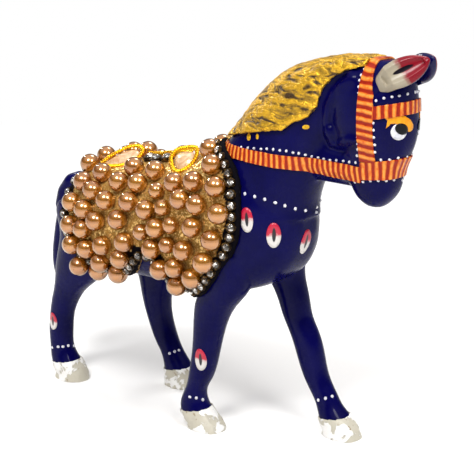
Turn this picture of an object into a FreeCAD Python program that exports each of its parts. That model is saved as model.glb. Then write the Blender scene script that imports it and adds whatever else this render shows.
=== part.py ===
import FreeCAD
import Part
import math
import os
from FreeCAD import Rotation, Vector

# A carved wooden horse in dark blue lacquer, walking, with raised painted harness bands, a gilded
# mane and a saddle cloth covered with pearl beads. Sizes are in millimetres.
# While it is built, X runs forward from the withers, Y to the horse's left and Z up from the ground.
# At the end everything moves so that the origin is at the bottom centre of the whole horse.

# Trunk
back_height = 77.5
belly_height = 42.0
trunk_length = 95.0
trunk_width = 33.6
rump_x = -59.0

# Neck
neck_foot_height = 70.0
neck_rise = 46.4
neck_back_x = 4.0
neck_reach = 60.0
neck_width = 25.0

# Head
chin_height = 77.0
head_length = 40.2
head_back_x = 45.6
head_depth = 24.4
head_width = 15.8
web_drop_share = 0.6
web_height_share = 0.6

# Legs: where each sole stands, how high the leg block reaches and how thick the shank is
front_right_sole_x = 6.0
front_left_sole_x = 41.5
hind_right_sole_x = -55.8
hind_left_sole_x = -23.0
front_track = 22.0
hind_track = 19.0
leg_top_height = 58.0
shank_depth = 8.0
shank_width = 7.8

# Flat glued joints between the leg blocks and the trunk, and between the neck and the trunk
leg_joint_height = 46.0
front_block_length = 22.0
hind_block_length = 33.0
belly_clearance = 1.0
leg_block_inner_y = 4.5
neck_joint_back_height = 87.0
neck_joint_back_x = -4.0
neck_joint_front_height = 69.0
neck_joint_front_x = 42.0

# Dowels and pegs
leg_dowel_diameter = 5.0
leg_dowel_length = 14.0
neck_dowel_diameter = 8.0
neck_dowel_length = 26.0
tail_peg_diameter = 2.6
tail_peg_length = 9.0
ear_peg_diameter = 1.2
ear_peg_length = 5.0
dowel_clearance = 0.1
dowel_end_clearances = 3
dowel_aim_share = 0.25
dowel_lift_share = 0.08

# Tail
tail_root_x = -57.0
tail_root_height = 63.5
tail_drop = 37.5
tail_swing = 13.0
tail_width = 10.0
tail_depth = 8.4

# Ears
ear_width = 8.4
ear_thickness = 4.0
ear_root_x = 63.4
ear_root_y = 7.2
ear_root_height = 109.9
ear_tip_x = 74.4
ear_tip_y = 1.3
ear_tip_height = 118.8
ear_hollow_depth = 1.2
ear_hollow_width_share = 0.74

# Coats with a real thickness
mane_thickness = 1.2
band_relief = 0.5
hoof_coat_thickness = 0.4
cloth_thickness = 1.8

# Harness bands
rein_height = 84.6
rein_width = 4.7
cheek_band_x = 57.7
cheek_band_width = 4.0
brow_band_height = 102.9
brow_band_width = 4.6
brow_band_rise = 1.0
nose_rise_share = 0.35
rein_rear_share = 0.09

# Hoof coat: its upper edge at the heel and at the toe
hoof_heel_height = 5.0
hoof_toe_height = 7.6

# Saddle cloth outline, right and left alike
cloth_front_x = 23.0
cloth_rear_x = -50.0
cloth_bottom_height = 42.6
cloth_top_height = 94.0

# Pearl beads
pearl_diameter = 6.3
small_pearl_diameter = 5.2
pearl_back_share = -0.5
rear_lobe_x = -34.0
rear_lobe_height = 60.0
front_lobe_x = 2.0
front_lobe_height = 62.0
glue_gap = 0.05

# Cup chain along the cloth's edge
stone_diameter = 2.1
stone_crown = 0.5
stone_pavilion = 0.5
stone_point_share = 0.45
stone_table_share = 0.6
cup_diameter = 2.9
cup_height = 0.9
chain_pitch = 3.3
chain_inset = 1.5
spine_stone_diameter = 3.0

# Brooches on the cloth
rear_brooch_length = 14.5
rear_brooch_width = 8.6
front_brooch_length = 9.6
front_brooch_width = 8.8
brooch_height = 1.5
brooch_skirt = 3.5
brooch_lean_share = 0.5
brooch_rim = 1.2
brooch_bed_share = 0.6
cabochon_rise = 1.1

# Gold cord and sprigs on the spine
cord_diameter = 1.5
sprig_length = 2.6
sprig_width = 1.3
sprig_thickness = 0.6

# One overrun serves every cut
overrun = 60.0

forward_axis = Vector(1, 0, 0)
left_axis = Vector(0, 1, 0)
up_axis = Vector(0, 0, 1)
ground_point = Vector(0, 0, 0)


def closed_curve(points):
    # Even parameters keep the rings of one loft alike, which keeps its surface light
    ring = Part.BSplineCurve()
    ring.interpolate(Points=points, PeriodicFlag=True, Parameters=list(range(len(points) + 1)))
    return Part.Wire([ring.toShape()])


def oval(centre, side, rise, half_side, half_rise, upper_fullness=2.0, lower_fullness=2.0, corners=16):
    # A closed smooth ring. Fullness 2 is an ellipse and a higher number is boxier.
    points = []
    for corner in range(corners):
        turn = 2 * math.pi * (corner + 0.5) / corners
        fullness = upper_fullness if math.sin(turn) > 0 else lower_fullness
        across = math.copysign(abs(math.cos(turn)) ** (2 / fullness), math.cos(turn))
        along = math.copysign(abs(math.sin(turn)) ** (2 / fullness), math.sin(turn))
        points.append(centre + side * (half_side * across) + rise * (half_rise * along))
    return closed_curve(points)


def join(shapes):
    whole = shapes[0]
    if len(shapes) > 1:
        whole = whole.fuse(shapes[1:])
    return whole


def mirrored(shape):
    return shape.mirror(ground_point, left_axis)


# Trunk sections: place along it, top, bottom and width
trunk_shares = [
    (0.0, 0.55, 0.36, 0.24),
    (0.015, 0.64, 0.28, 0.46),
    (0.05, 0.73, 0.17, 0.68),
    (0.105, 0.82, 0.08, 0.85),
    (0.20, 0.91, 0.02, 0.95),
    (0.32, 0.97, 0.0, 0.99),
    (0.46, 1.03, 0.0, 1.0),
    (0.60, 1.13, 0.01, 1.0),
    (0.73, 1.24, 0.05, 0.98),
    (0.835, 1.24, 0.12, 0.90),
    (0.91, 1.18, 0.22, 0.76),
    (0.963, 1.07, 0.36, 0.56),
    (0.99, 0.94, 0.52, 0.35),
    (1.0, 0.86, 0.62, 0.20),
]


def trunk(proud=0.0):
    depth = back_height - belly_height
    rings = []
    for place, top, bottom, width in trunk_shares:
        x = rump_x - proud + place * (trunk_length + 2 * proud)
        middle = belly_height + depth * (top + bottom) / 2
        half_height = depth * (top - bottom) / 2 + proud
        half_width = trunk_width * width / 2 + proud
        rings.append(oval(Vector(x, 0, middle), left_axis, up_axis, half_width, half_height, 2.2, 3.0))
    return Part.makeLoft(rings, True, False)


# Neck sections: height, back edge, front edge and width
neck_shares = [
    (0.0, 0.01, 0.555, 1.0),
    (0.26, 0.01, 0.60, 0.94),
    (0.39, 0.055, 0.65, 0.84),
    (0.52, 0.14, 0.71, 0.74),
    (0.65, 0.225, 0.79, 0.66),
    (0.78, 0.325, 0.87, 0.57),
    (0.885, 0.44, 0.94, 0.50),
    (0.965, 0.62, 0.985, 0.41),
    (1.0, 0.74, 0.98, 0.26),
]


def neck(proud=0.0):
    rings = []
    for height, back, front, width in neck_shares:
        z = neck_foot_height + height * (neck_rise + proud)
        middle = neck_back_x + neck_reach * (back + front) / 2
        half_depth = neck_reach * (front - back) / 2 + proud
        half_width = neck_width * width / 2 + proud
        rings.append(oval(Vector(middle, 0, z), forward_axis, left_axis, half_depth, half_width, 2.2, 2.2))
    return Part.makeLoft(rings, True, False)


# Head sections from the poll down: height, back edge, front edge and width
head_shares = [
    (1.0, 0.48, 0.80, 0.36),
    (0.965, 0.30, 0.90, 0.62),
    (0.90, 0.15, 0.93, 0.86),
    (0.80, 0.045, 0.96, 1.02),
    (0.68, 0.0, 0.975, 1.09),
    (0.57, 0.0, 0.98, 1.08),
    (0.46, 0.04, 0.96, 1.0),
    (0.37, 0.12, 0.91, 0.88),
    (0.28, 0.19, 0.85, 0.81),
    (0.18, 0.235, 0.82, 0.78),
    (0.10, 0.29, 0.775, 0.70),
    (0.04, 0.37, 0.70, 0.52),
    (0.0, 0.46, 0.61, 0.24),
]


def head(proud=0.0):
    rings = []
    for height, back, front, width in head_shares:
        z = chin_height - proud + height * (head_length + 2 * proud)
        middle = head_back_x + head_depth * (back + front) / 2
        half_depth = head_depth * (front - back) / 2 + proud
        half_width = head_width * width / 2 + proud
        rings.append(oval(Vector(middle, 0, z), forward_axis, left_axis, half_depth, half_width, 2.5, 2.5))
    return Part.makeLoft(rings, True, False)


# The web of wood that is left between the chin and the neck, with its straight lower edge
web_shares = [(0.0, 0.30), (0.06, 0.46), (0.16, 0.78), (0.30, 0.80), (0.55, 0.72), (0.75, 0.62)]


def throat_web(proud=0.0):
    rings = []
    front = head_back_x + head_depth / 2
    back = neck_back_x + neck_reach / 2
    for height, width in web_shares:
        z = rein_height - rein_width * web_drop_share - proud + height * (head_length * web_height_share + proud)
        half_width = head_width * width / 2 + proud
        half_depth = (front - back) / 2
        rings.append(oval(Vector((front + back) / 2, 0, z), forward_axis, left_axis, half_depth, half_width, 5.0, 5.0))
    return Part.makeLoft(rings, True, False)


# Leg sections from the top down: height, distance ahead of the sole's middle, depth and width
leg_shares = {
    "front_right_leg": [
        (1.0, 0.14, 2.25, 1.50),
        (0.86, 0.14, 2.10, 1.50),
        (0.79, 0.125, 1.90, 1.42),
        (0.72, 0.078, 1.72, 1.33),
        (0.64, 0.043, 1.45, 1.22),
        (0.55, 0.022, 1.24, 1.12),
        (0.46, 0.006, 1.12, 1.05),
        (0.32, -0.025, 1.02, 0.97),
        (0.15, -0.082, 1.02, 0.96),
        (0.105, -0.075, 1.24, 1.12),
        (0.055, -0.04, 1.40, 1.22),
        (0.0, 0.0, 1.52, 1.30),
    ],
    "front_left_leg": [
        (1.0, -0.46, 2.25, 1.50),
        (0.86, -0.415, 2.00, 1.45),
        (0.75, -0.358, 1.40, 1.22),
        (0.66, -0.322, 1.22, 1.14),
        (0.57, -0.288, 1.14, 1.10),
        (0.44, -0.225, 1.12, 1.06),
        (0.31, -0.182, 1.02, 0.98),
        (0.21, -0.125, 0.98, 0.95),
        (0.155, -0.09, 1.0, 0.96),
        (0.105, -0.055, 1.24, 1.12),
        (0.055, -0.02, 1.40, 1.22),
        (0.0, 0.0, 1.52, 1.30),
    ],
    "hind_right_leg": [
        (1.07, 0.19, 3.1, 1.55),
        (0.93, 0.185, 3.1, 1.62),
        (0.81, 0.165, 2.95, 1.60),
        (0.71, 0.12, 2.72, 1.50),
        (0.62, 0.06, 2.05, 1.36),
        (0.535, 0.0, 1.38, 1.22),
        (0.465, -0.038, 1.15, 1.12),
        (0.38, -0.068, 1.02, 1.02),
        (0.27, -0.082, 1.0, 1.0),
        (0.17, -0.078, 1.02, 0.98),
        (0.115, -0.058, 1.24, 1.10),
        (0.06, -0.02, 1.40, 1.18),
        (0.0, 0.0, 1.50, 1.26),
    ],
    "hind_left_leg": [
        (1.07, -0.27, 3.1, 1.55),
        (0.93, -0.26, 3.0, 1.62),
        (0.81, -0.235, 2.65, 1.60),
        (0.71, -0.21, 2.15, 1.46),
        (0.60, -0.185, 1.62, 1.30),
        (0.48, -0.185, 1.24, 1.16),
        (0.38, -0.165, 1.08, 1.05),
        (0.26, -0.118, 1.0, 1.0),
        (0.17, -0.062, 1.0, 0.98),
        (0.11, -0.028, 1.22, 1.10),
        (0.06, -0.008, 1.38, 1.18),
        (0.0, 0.0, 1.48, 1.26),
    ],
}
sole_places = {
    "front_right_leg": (front_right_sole_x, -front_track / 2),
    "front_left_leg": (front_left_sole_x, front_track / 2),
    "hind_right_leg": (hind_right_sole_x, -hind_track / 2),
    "hind_left_leg": (hind_left_sole_x, hind_track / 2),
}


def leg(name, proud=0.0):
    sole_x, sole_y = sole_places[name]
    rings = []
    for height, ahead, depth, width in leg_shares[name]:
        centre = Vector(sole_x + ahead * leg_top_height, sole_y, height * leg_top_height)
        half_depth = shank_depth * depth / 2 + proud
        half_width = shank_width * width / 2 + proud
        rings.append(oval(centre, forward_axis, left_axis, half_depth, half_width, 2.2, 2.2))
    return Part.makeLoft(rings, True, False)


def leg_centre(name, height):
    # Where the leg's middle lies at a height, between its two nearest sections
    sole_x, sole_y = sole_places[name]
    sections = leg_shares[name]
    for upper, lower in zip(sections, sections[1:]):
        top = upper[0] * leg_top_height
        bottom = lower[0] * leg_top_height
        if bottom <= height <= top:
            part = (height - bottom) / (top - bottom)
            ahead = lower[1] + (upper[1] - lower[1]) * part
            return Vector(sole_x + ahead * leg_top_height, sole_y, height)
    return Vector(sole_x, sole_y, height)


leg_names = list(leg_shares)


def carving(proud=0.0):
    return join([trunk(proud), neck(proud), head(proud), throat_web(proud)] + [leg(n, proud) for n in leg_names])


horse = carving()
print("carving", round(horse.Volume), len(horse.Solids))

# Cutters for the glued joints
neck_seam = Vector(neck_joint_front_x, 0, neck_joint_front_height)
neck_seam = neck_seam - Vector(neck_joint_back_x, 0, neck_joint_back_height)
neck_seam_middle = Vector(neck_joint_back_x, 0, neck_joint_back_height) + neck_seam / 2
neck_axis = Vector(-neck_seam.z, 0, neck_seam.x).normalize()


def block(x_from, x_to, y_from, y_to, z_from, z_to):
    return Part.makeBox(x_to - x_from, y_to - y_from, z_to - z_from, Vector(x_from, y_from, z_from))


above_neck_seam = Part.makeBox(4 * overrun, 4 * overrun, 4 * overrun, Vector(-2 * overrun, -2 * overrun, 0))
above_neck_seam.Placement = FreeCAD.Placement(neck_seam_middle, Rotation(up_axis, neck_axis))


def leg_block(name):
    top = leg_centre(name, leg_joint_height)
    side = math.copysign(1, top.y)
    y_from, y_to = sorted([side * leg_block_inner_y, side * overrun])
    length = hind_block_length if name.startswith("hind") else front_block_length
    return block(top.x - length / 2, top.x + length / 2, y_from, y_to, -overrun, leg_joint_height)


def whole_leg_cutter(name):
    # The leg swings out of its block's footprint further down, so the cutter widens there
    low = belly_height - belly_clearance
    side = math.copysign(1, sole_places[name][1])
    y_from, y_to = sorted([0, side * overrun])
    middle = leg_centre(name, low).x
    reach = hind_block_length
    return leg_block(name).fuse(block(middle - reach, middle + reach, y_from, y_to, -overrun, low))


def dowel(middle, axis, diameter, length, clearance=0.0):
    radius = diameter / 2 + clearance
    half = length / 2 + dowel_end_clearances * clearance
    return Part.makeCylinder(radius, 2 * half, middle - axis * half, axis)


leg_dowel_places = {}
for name in leg_names:
    place = leg_centre(name, leg_joint_height - leg_dowel_length * dowel_aim_share)
    leg_dowel_places[name] = Vector(place.x, place.y, leg_joint_height + leg_dowel_length * dowel_lift_share)

tail_axis = Vector(-0.75, 0, -0.66).normalize()
tail_peg_middle = Vector(tail_root_x, 0, tail_root_height)
ear_root = Vector(ear_root_x, -ear_root_y, ear_root_height)
ear_tip = Vector(ear_tip_x, -ear_tip_y, ear_tip_height)
ear_length = ear_root.distanceToPoint(ear_tip)
ear_axis = (ear_tip - ear_root).normalize()

wood = {}
wood["neck_and_head"] = horse.common(above_neck_seam)
trunk_wood = horse.cut(above_neck_seam)
sole = block(-4 * overrun, 4 * overrun, -overrun, overrun, -overrun, hoof_coat_thickness)
cutters = {name: whole_leg_cutter(name) for name in leg_names}
for name in leg_names:
    wood[name] = trunk_wood.common(cutters[name]).cut(sole)
wood["trunk"] = trunk_wood.cut(list(cutters.values()))
for name in wood:
    print(name, len(wood[name].Solids), round(wood[name].Volume))

# Dowels in their bores
bores = [dowel(neck_seam_middle, neck_axis, neck_dowel_diameter, neck_dowel_length, dowel_clearance)]
nodes = {}
nodes["neck_dowel"] = dowel(neck_seam_middle, neck_axis, neck_dowel_diameter, neck_dowel_length)
leg_dowels = []
for name in leg_names:
    leg_dowels.append(dowel(leg_dowel_places[name], up_axis, leg_dowel_diameter, leg_dowel_length))
    bores.append(dowel(leg_dowel_places[name], up_axis, leg_dowel_diameter, leg_dowel_length, dowel_clearance))
nodes["leg_dowels"] = Part.makeCompound(leg_dowels)

# Tail: a carved switch that hangs behind the rump
tail_shares = [
    (0.30, -0.08, 0.50, 0.55),
    (0.10, -0.04, 0.62, 0.62),
    (-0.14, 0.04, 0.78, 0.74),
    (-0.40, 0.14, 0.95, 0.90),
    (-0.58, 0.29, 1.0, 1.0),
    (-0.70, 0.46, 1.0, 1.0),
    (-0.80, 0.63, 0.96, 0.98),
    (-0.82, 0.78, 0.86, 0.92),
    (-0.76, 0.90, 0.66, 0.74),
    (-0.69, 0.97, 0.40, 0.46),
    (-0.66, 1.0, 0.14, 0.18),
]


def tail():
    centres = []
    for swing, drop, width, depth in tail_shares:
        centres.append(Vector(tail_root_x + swing * tail_swing, 0, tail_root_height - drop * tail_drop))
    rings = []
    for index, (swing, drop, width, depth) in enumerate(tail_shares):
        before = centres[max(index - 1, 0)]
        after = centres[min(index + 1, len(centres) - 1)]
        along = (after - before).normalize()
        across = left_axis.cross(along).normalize()
        rings.append(oval(centres[index], left_axis, across, tail_width * width / 2, tail_depth * depth / 2))
    return Part.makeLoft(rings, True, False)


# Ears: leaves with a shallow hollow, pointing forward and up
ear_shares = [(-0.10, 0.62, 0.80), (0.08, 0.78, 0.95), (0.30, 0.97, 1.0), (0.52, 1.0, 0.96),
              (0.74, 0.80, 0.84), (0.90, 0.46, 0.60), (1.0, 0.12, 0.20)]


def ear():
    face = Vector(0.30, -0.88, 0.30)
    face = (face - ear_axis * face.dot(ear_axis)).normalize()
    across = ear_axis.cross(face).normalize()
    rings = []
    hollow_rings = []
    for along, width, thickness in ear_shares:
        centre = ear_root + ear_axis * (along * ear_length)
        half_width = ear_width * width / 2
        half_thickness = ear_thickness * thickness / 2
        rings.append(oval(centre, across, face, half_width, half_thickness))
        if -0.1 < along < 1:
            raised = centre + face * (half_thickness + ear_thickness / 2 - ear_hollow_depth)
            hollow_rings.append(oval(raised, across, face, half_width * ear_hollow_width_share, ear_thickness / 2))
    return Part.makeLoft(rings, True, False).cut(Part.makeLoft(hollow_rings, True, False))


solid_tail = tail().cut(horse)
solid_ear = ear().cut(horse)
ear_peg = dowel(ear_root, ear_axis, ear_peg_diameter, ear_peg_length)
ear_bore = dowel(ear_root, ear_axis, ear_peg_diameter, ear_peg_length, dowel_clearance)
tail_peg = dowel(tail_peg_middle, tail_axis, tail_peg_diameter, tail_peg_length)
tail_bore = dowel(tail_peg_middle, tail_axis, tail_peg_diameter, tail_peg_length, dowel_clearance)
bores += [ear_bore, mirrored(ear_bore), tail_bore]
nodes["tail"] = solid_tail.cut(tail_bore)
nodes["right_ear"] = solid_ear.cut(ear_bore)
nodes["left_ear"] = mirrored(nodes["right_ear"])
nodes["tail_peg"] = tail_peg
nodes["ear_pegs"] = Part.makeCompound([ear_peg, mirrored(ear_peg)])
for name in wood:
    nodes[name] = wood[name].cut(bores)

# Hoof coats: thick white dips over the carved feet, deeper at the toe
for name in leg_names:
    sole_x, sole_y = sole_places[name]
    reach = shank_depth * 2
    edge = [
        Vector(sole_x - reach, sole_y - reach, hoof_heel_height - (hoof_toe_height - hoof_heel_height) / 2),
        Vector(sole_x + reach, sole_y - reach, hoof_toe_height + (hoof_toe_height - hoof_heel_height) / 2),
        Vector(sole_x + reach, sole_y - reach, 0),
        Vector(sole_x - reach, sole_y - reach, 0),
    ]
    dip = Part.Face(Part.makePolygon(edge + edge[:1])).extrude(left_axis * (2 * reach))
    foot = leg(name).cut(sole)
    coat = leg(name, hoof_coat_thickness).common(dip).cut(foot)
    nodes[name.replace("leg", "hoof_coat")] = coat


def side_prism(points):
    # A region drawn in side view, carried through the whole width
    ends = [Vector(x, -overrun, z) for x, z in points]
    return Part.Face(Part.makePolygon(ends + ends[:1])).extrude(left_axis * (2 * overrun))


face_x = head_back_x + head_depth
rein_top = rein_height + rein_width
cheek_front_x = cheek_band_x + cheek_band_width
nose_rise = rein_width * nose_rise_share
rein_region = side_prism([
    (neck_back_x + neck_reach * rein_rear_share, rein_height),
    (cheek_band_x, rein_height),
    (cheek_band_x, rein_top),
    (neck_back_x + neck_reach * rein_rear_share, rein_top),
])
nose_region = side_prism([
    (cheek_band_x, rein_height),
    (face_x + rein_width, rein_height + nose_rise),
    (face_x + rein_width, rein_top + nose_rise),
    (cheek_front_x, rein_top),
    (cheek_band_x, rein_top),
])
crown_height = chin_height + head_length + neck_rise
cheek_region = side_prism([
    (cheek_band_x, rein_top),
    (cheek_front_x, rein_top),
    (cheek_front_x, crown_height),
    (cheek_band_x, crown_height),
])
brow_region = side_prism([
    (cheek_front_x, brow_band_height),
    (face_x + rein_width, brow_band_height + brow_band_rise),
    (face_x + rein_width, brow_band_height + brow_band_rise + brow_band_width),
    (cheek_front_x, brow_band_height + brow_band_width),
])
raised_head = [neck(band_relief), head(band_relief), throat_web(band_relief)]
bare_head = [neck(), head(), throat_web()]


def band(region):
    # A raised coat over the neck and head inside a region
    pieces = [shape.common(region) for shape in raised_head]
    return join([piece for piece in pieces if piece.Volume > 0]).cut(bare_head)


ears = [nodes["right_ear"], nodes["left_ear"]]
rein = band(rein_region)
nodes["noseband"] = band(nose_region)
nodes["cheek_and_crown_strap"] = band(cheek_region).cut(ears)
nodes["brow_band"] = band(brow_region).cut(ears)

# Mane: a gilded coat of rough paste along the crest, with a ragged lower edge on both sides
mane_shares = [
    (-0.10, 0.34), (0.03, 0.36), (0.09, 0.40), (0.12, 0.375), (0.15, 0.43), (0.19, 0.415), (0.22, 0.46),
    (0.26, 0.44), (0.30, 0.48), (0.34, 0.475), (0.39, 0.50), (0.43, 0.545), (0.48, 0.56), (0.55, 0.62),
    (0.62, 0.66), (0.66, 0.72), (0.68, 0.83), (0.73, 0.90), (0.80, 0.955), (0.89, 0.985), (0.93, 1.3),
    (-0.10, 1.3),
]
mane_region = side_prism([
    (neck_back_x + neck_reach * along, neck_foot_height + neck_rise * height) for along, height in mane_shares
])
mane_coat = neck(mane_thickness).common(mane_region).cut(horse)
nodes["mane"] = mane_coat.cut([rein, nodes["cheek_and_crown_strap"]])

# Saddle cloth: two rounded lobes on each side with a notch between them
cloth_length = cloth_front_x - cloth_rear_x
cloth_rise = cloth_top_height - cloth_bottom_height
cloth_shares = [
    (0.745, 0.93), (0.80, 0.915), (0.875, 0.875), (0.94, 0.80), (0.98, 0.68), (1.0, 0.53), (0.99, 0.41),
    (0.95, 0.285), (0.89, 0.155), (0.83, 0.055), (0.75, 0.01), (0.66, 0.02), (0.60, 0.09), (0.56, 0.175),
    (0.525, 0.22), (0.49, 0.18), (0.435, 0.08), (0.35, 0.01), (0.24, 0.0), (0.14, 0.035), (0.065, 0.12),
    (0.015, 0.24), (0.0, 0.37), (0.0, 0.50), (0.005, 0.60), (0.02, 0.70), (0.03, 0.75),
]


def cloth_point(along, height):
    return Vector(cloth_rear_x + along * cloth_length, 0, cloth_bottom_height + height * cloth_rise)


cloth_edge = Part.BSplineCurve()
cloth_edge.interpolate([cloth_point(*share) for share in cloth_shares])
edge_wire = Part.Wire([cloth_edge.toShape()])
first = cloth_edge.StartPoint
last = cloth_edge.EndPoint
lid = [last, Vector(last.x, 0, overrun * 2), Vector(first.x, 0, overrun * 2), first]
cloth_outline = Part.Wire(edge_wire.Edges + Part.makePolygon(lid).Edges)
cloth_region = Part.Face(cloth_outline)
cloth_region.translate(left_axis * -overrun)
cloth_region = cloth_region.extrude(left_axis * (2 * overrun))
padded_parts = [trunk(cloth_thickness), neck(cloth_thickness)] + [leg(n, cloth_thickness) for n in leg_names]
padded = join(padded_parts)
cloth = padded.common(cloth_region).cut(horse).cut([nodes["tail"], rein])
nodes["saddle_cloth"] = cloth
nodes["rein_band"] = rein.cut(cloth)
nodes["mane"] = nodes["mane"].cut(cloth)
print("cloth", len(cloth.Solids), round(cloth.Volume), "mane", len(nodes["mane"].Solids))


padded_skins = []
for shape in padded_parts:
    widest = max(shape.Faces, key=lambda face: face.Area)
    padded_skins.append(widest.Surface)


def seat_on_cloth(start, towards):
    # Where a straight line from inside leaves the padded cloth, and the outward direction there
    ray = Part.LineSegment(start, start + towards * (2 * overrun))
    farthest = 0
    place = None
    normal = None
    for skin in padded_skins:
        for hit in ray.intersectCS(skin)[0]:
            point = Vector(hit.X, hit.Y, hit.Z)
            distance = start.distanceToPoint(point)
            if distance > farthest:
                farthest = distance
                place = point
                normal = skin.normal(*skin.parameter(point))
    if place is not None and normal.dot(towards) < 0:
        normal = normal * -1
    return place, normal


def pearl(place, normal, diameter):
    radius = diameter / 2
    back = math.degrees(math.asin(pearl_back_share))
    centre = place + normal * (glue_gap - pearl_back_share * radius)
    return Part.makeSphere(radius, centre, normal, back, 90)


# Pearls by lobe: turn towards the head, rise above level, and whether the bead is a small one
rear_pearls = [
    (-80, 57, 0), (-55, 46, 0),
    (-27, 33, 0), (-2, 48, 0), (32, 37, 0), (48, 47, 0), (62, 35, 0),
    (-3, 29, 0), (20, 22, 0), (50, 31, 0),
    (-29, 13, 0), (-10, 11, 0), (8, 3, 0), (34, 8, 0), (43, 20, 0),
    (-29, -7, 0), (-11, -8, 0), (39, -8, 0), (50, 2, 1),
    (-28, -24, 0), (-8, -26, 0), (16, -18, 0), (35, -22, 0),
    (-24, -40, 0), (9, -35, 0), (30, -38, 0), (-6, -48, 0),
]
front_pearls = [
    (32, 72, 0), (36, 54, 0),
    (-12, 43, 0), (17, 45, 0), (40, 38, 0),
    (-31, 31, 1), (-17, 22, 1), (4, 32, 0), (24, 29, 0),
    (-34, 15, 0), (-5, 10, 1), (20, 12, 0), (42, 22, 0),
    (-22, 4, 0), (37, 4, 0),
    (-27, -14, 0), (-10, -9, 1), (10, -10, 0), (31, -14, 0),
    (-21, -30, 0), (-2, -27, 0), (20, -31, 0), (-7, -43, 0),
]


def outward(turn, rise, side=-1):
    # A direction from a lobe's centre: turned towards the head and raised, to the right side or the left
    turn = math.radians(turn)
    rise = math.radians(rise)
    return Vector(math.cos(rise) * math.sin(turn), side * math.cos(rise) * math.cos(turn), math.sin(rise))


def pearl_group(centre, table, side=-1):
    beads = []
    for turn, rise, small in table:
        place, normal = seat_on_cloth(centre, outward(turn, rise, side))
        beads.append(pearl(place, normal, small_pearl_diameter if small else pearl_diameter))
    return beads


rear_centre = Vector(rear_lobe_x, 0, rear_lobe_height)
front_centre = Vector(front_lobe_x, 0, front_lobe_height)
nodes["rear_pearls_right"] = Part.makeCompound(pearl_group(rear_centre, rear_pearls))
nodes["front_pearls_right"] = Part.makeCompound(pearl_group(front_centre, front_pearls))
# The first rear bead sits on the spine, so the left side leaves it out
nodes["rear_pearls_left"] = Part.makeCompound(pearl_group(rear_centre, rear_pearls[1:], 1))
nodes["front_pearls_left"] = Part.makeCompound(pearl_group(front_centre, front_pearls, 1))

# Left side only: beads along the spine where the right side has its brooches
left_rear_pearls = [(-40, 78, 0), (54, 75, 0)]
left_front_pearls = [(-27, 76, 0)]
left_beads = pearl_group(rear_centre, left_rear_pearls, 1) + pearl_group(front_centre, left_front_pearls, 1)
nodes["spine_pearls_left"] = Part.makeCompound(left_beads)


def stone_and_cup(diameter):
    # A faceted-looking stone and the cup that holds it, standing on the origin
    scale = diameter / stone_diameter
    girdle = diameter / 2
    point = girdle * stone_point_share
    table = girdle * stone_table_share
    pavilion = stone_pavilion * scale
    crown = stone_crown * scale
    height = cup_height * scale
    low = Part.makeCone(point, girdle, pavilion, ground_point + up_axis * (height - pavilion))
    high = Part.makeCone(girdle, table, crown, ground_point + up_axis * height)
    stone = low.fuse(high)
    cup = Part.makeCylinder(cup_diameter * scale / 2, height).cut(low)
    return stone, cup


def stand(shape, place, normal):
    placed = shape.copy()
    placed.Placement = FreeCAD.Placement(place + normal * glue_gap, Rotation(up_axis, normal))
    return placed


# Cup chain just inside the cloth's edge, from the withers round both lobes to the croup
small_stone, small_cup = stone_and_cup(stone_diameter)
edge_points = cloth_edge.discretize(Distance=chain_pitch)
for side_name, side in [("right", -1), ("left", 1)]:
    chain_stones = []
    chain_cups = []
    for before, after in zip(edge_points, edge_points[2:]):
        middle = (before + after) / 2
        inward = left_axis.cross(after - before).normalize()
        spot = middle + inward * chain_inset
        place, normal = seat_on_cloth(Vector(spot.x, 0, spot.z), left_axis * side)
        if place is not None:
            chain_stones.append(stand(small_stone, place, normal))
            chain_cups.append(stand(small_cup, place, normal))
    nodes["edge_stones_" + side_name] = Part.makeCompound(chain_stones)
    nodes["edge_cups_" + side_name] = Part.makeCompound(chain_cups)
    print(len(chain_stones), "stones", side_name)

# Brooches: a gold wire rim round a pale domed stone, lying on the cloth beside the spine
leaf_shares = [(-0.50, 0.0), (-0.32, 0.24), (-0.08, 0.42), (0.20, 0.50), (0.42, 0.34), (0.50, 0.04),
               (0.42, -0.26), (0.20, -0.44), (-0.08, -0.40), (-0.32, -0.22)]
shield_shares = [(-0.50, 0.10), (-0.40, 0.42), (-0.05, 0.50), (0.34, 0.46), (0.50, 0.12), (0.42, -0.26),
                 (0.12, -0.50), (-0.20, -0.40)]


dome_shares = [(0, 0), (0.25, 0.45), (0.62, 0.8), (0.95, 1.0)]


def brooch(centre, turn, rise, heading, outline, length, width):
    place, normal = seat_on_cloth(centre, outward(turn, rise))
    # It leans off the spine, packed up underneath by a wedge of its own glue bed
    normal = (normal + outward(20, 0) * brooch_lean_share).normalize()
    heading = math.radians(heading)
    along = Vector(math.cos(heading), math.sin(heading), 0)
    along = (along - normal * along.dot(normal)).normalize()
    across = normal.cross(along)

    def ring(inset, height):
        points = []
        for u, v in outline:
            points.append(place + along * (u * (length - 2 * inset)) + across * (v * (width - 2 * inset))
                          + normal * height)
        return closed_curve(points)

    low = -brooch_skirt
    outer = Part.Face(ring(0, low)).extrude(normal * (brooch_height - low))
    inner = Part.Face(ring(brooch_rim, low)).extrude(normal * (2 * brooch_height))
    seat = brooch_rim + 2 * glue_gap
    bed = Part.Face(ring(seat, low)).extrude(normal * (brooch_height * brooch_bed_share + glue_gap - low))
    dome_rings = []
    for inset_share, rise_share in dome_shares:
        inset = seat + inset_share * (width / 2 - seat)
        dome_rings.append(ring(inset, brooch_height * brooch_bed_share + rise_share * cabochon_rise))
    dome = Part.makeLoft(dome_rings, True, False)
    rim = outer.cut(inner).cut(padded_parts[:2])
    stone = bed.fuse(dome).cut(padded_parts[:2])
    return rim, stone


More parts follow.
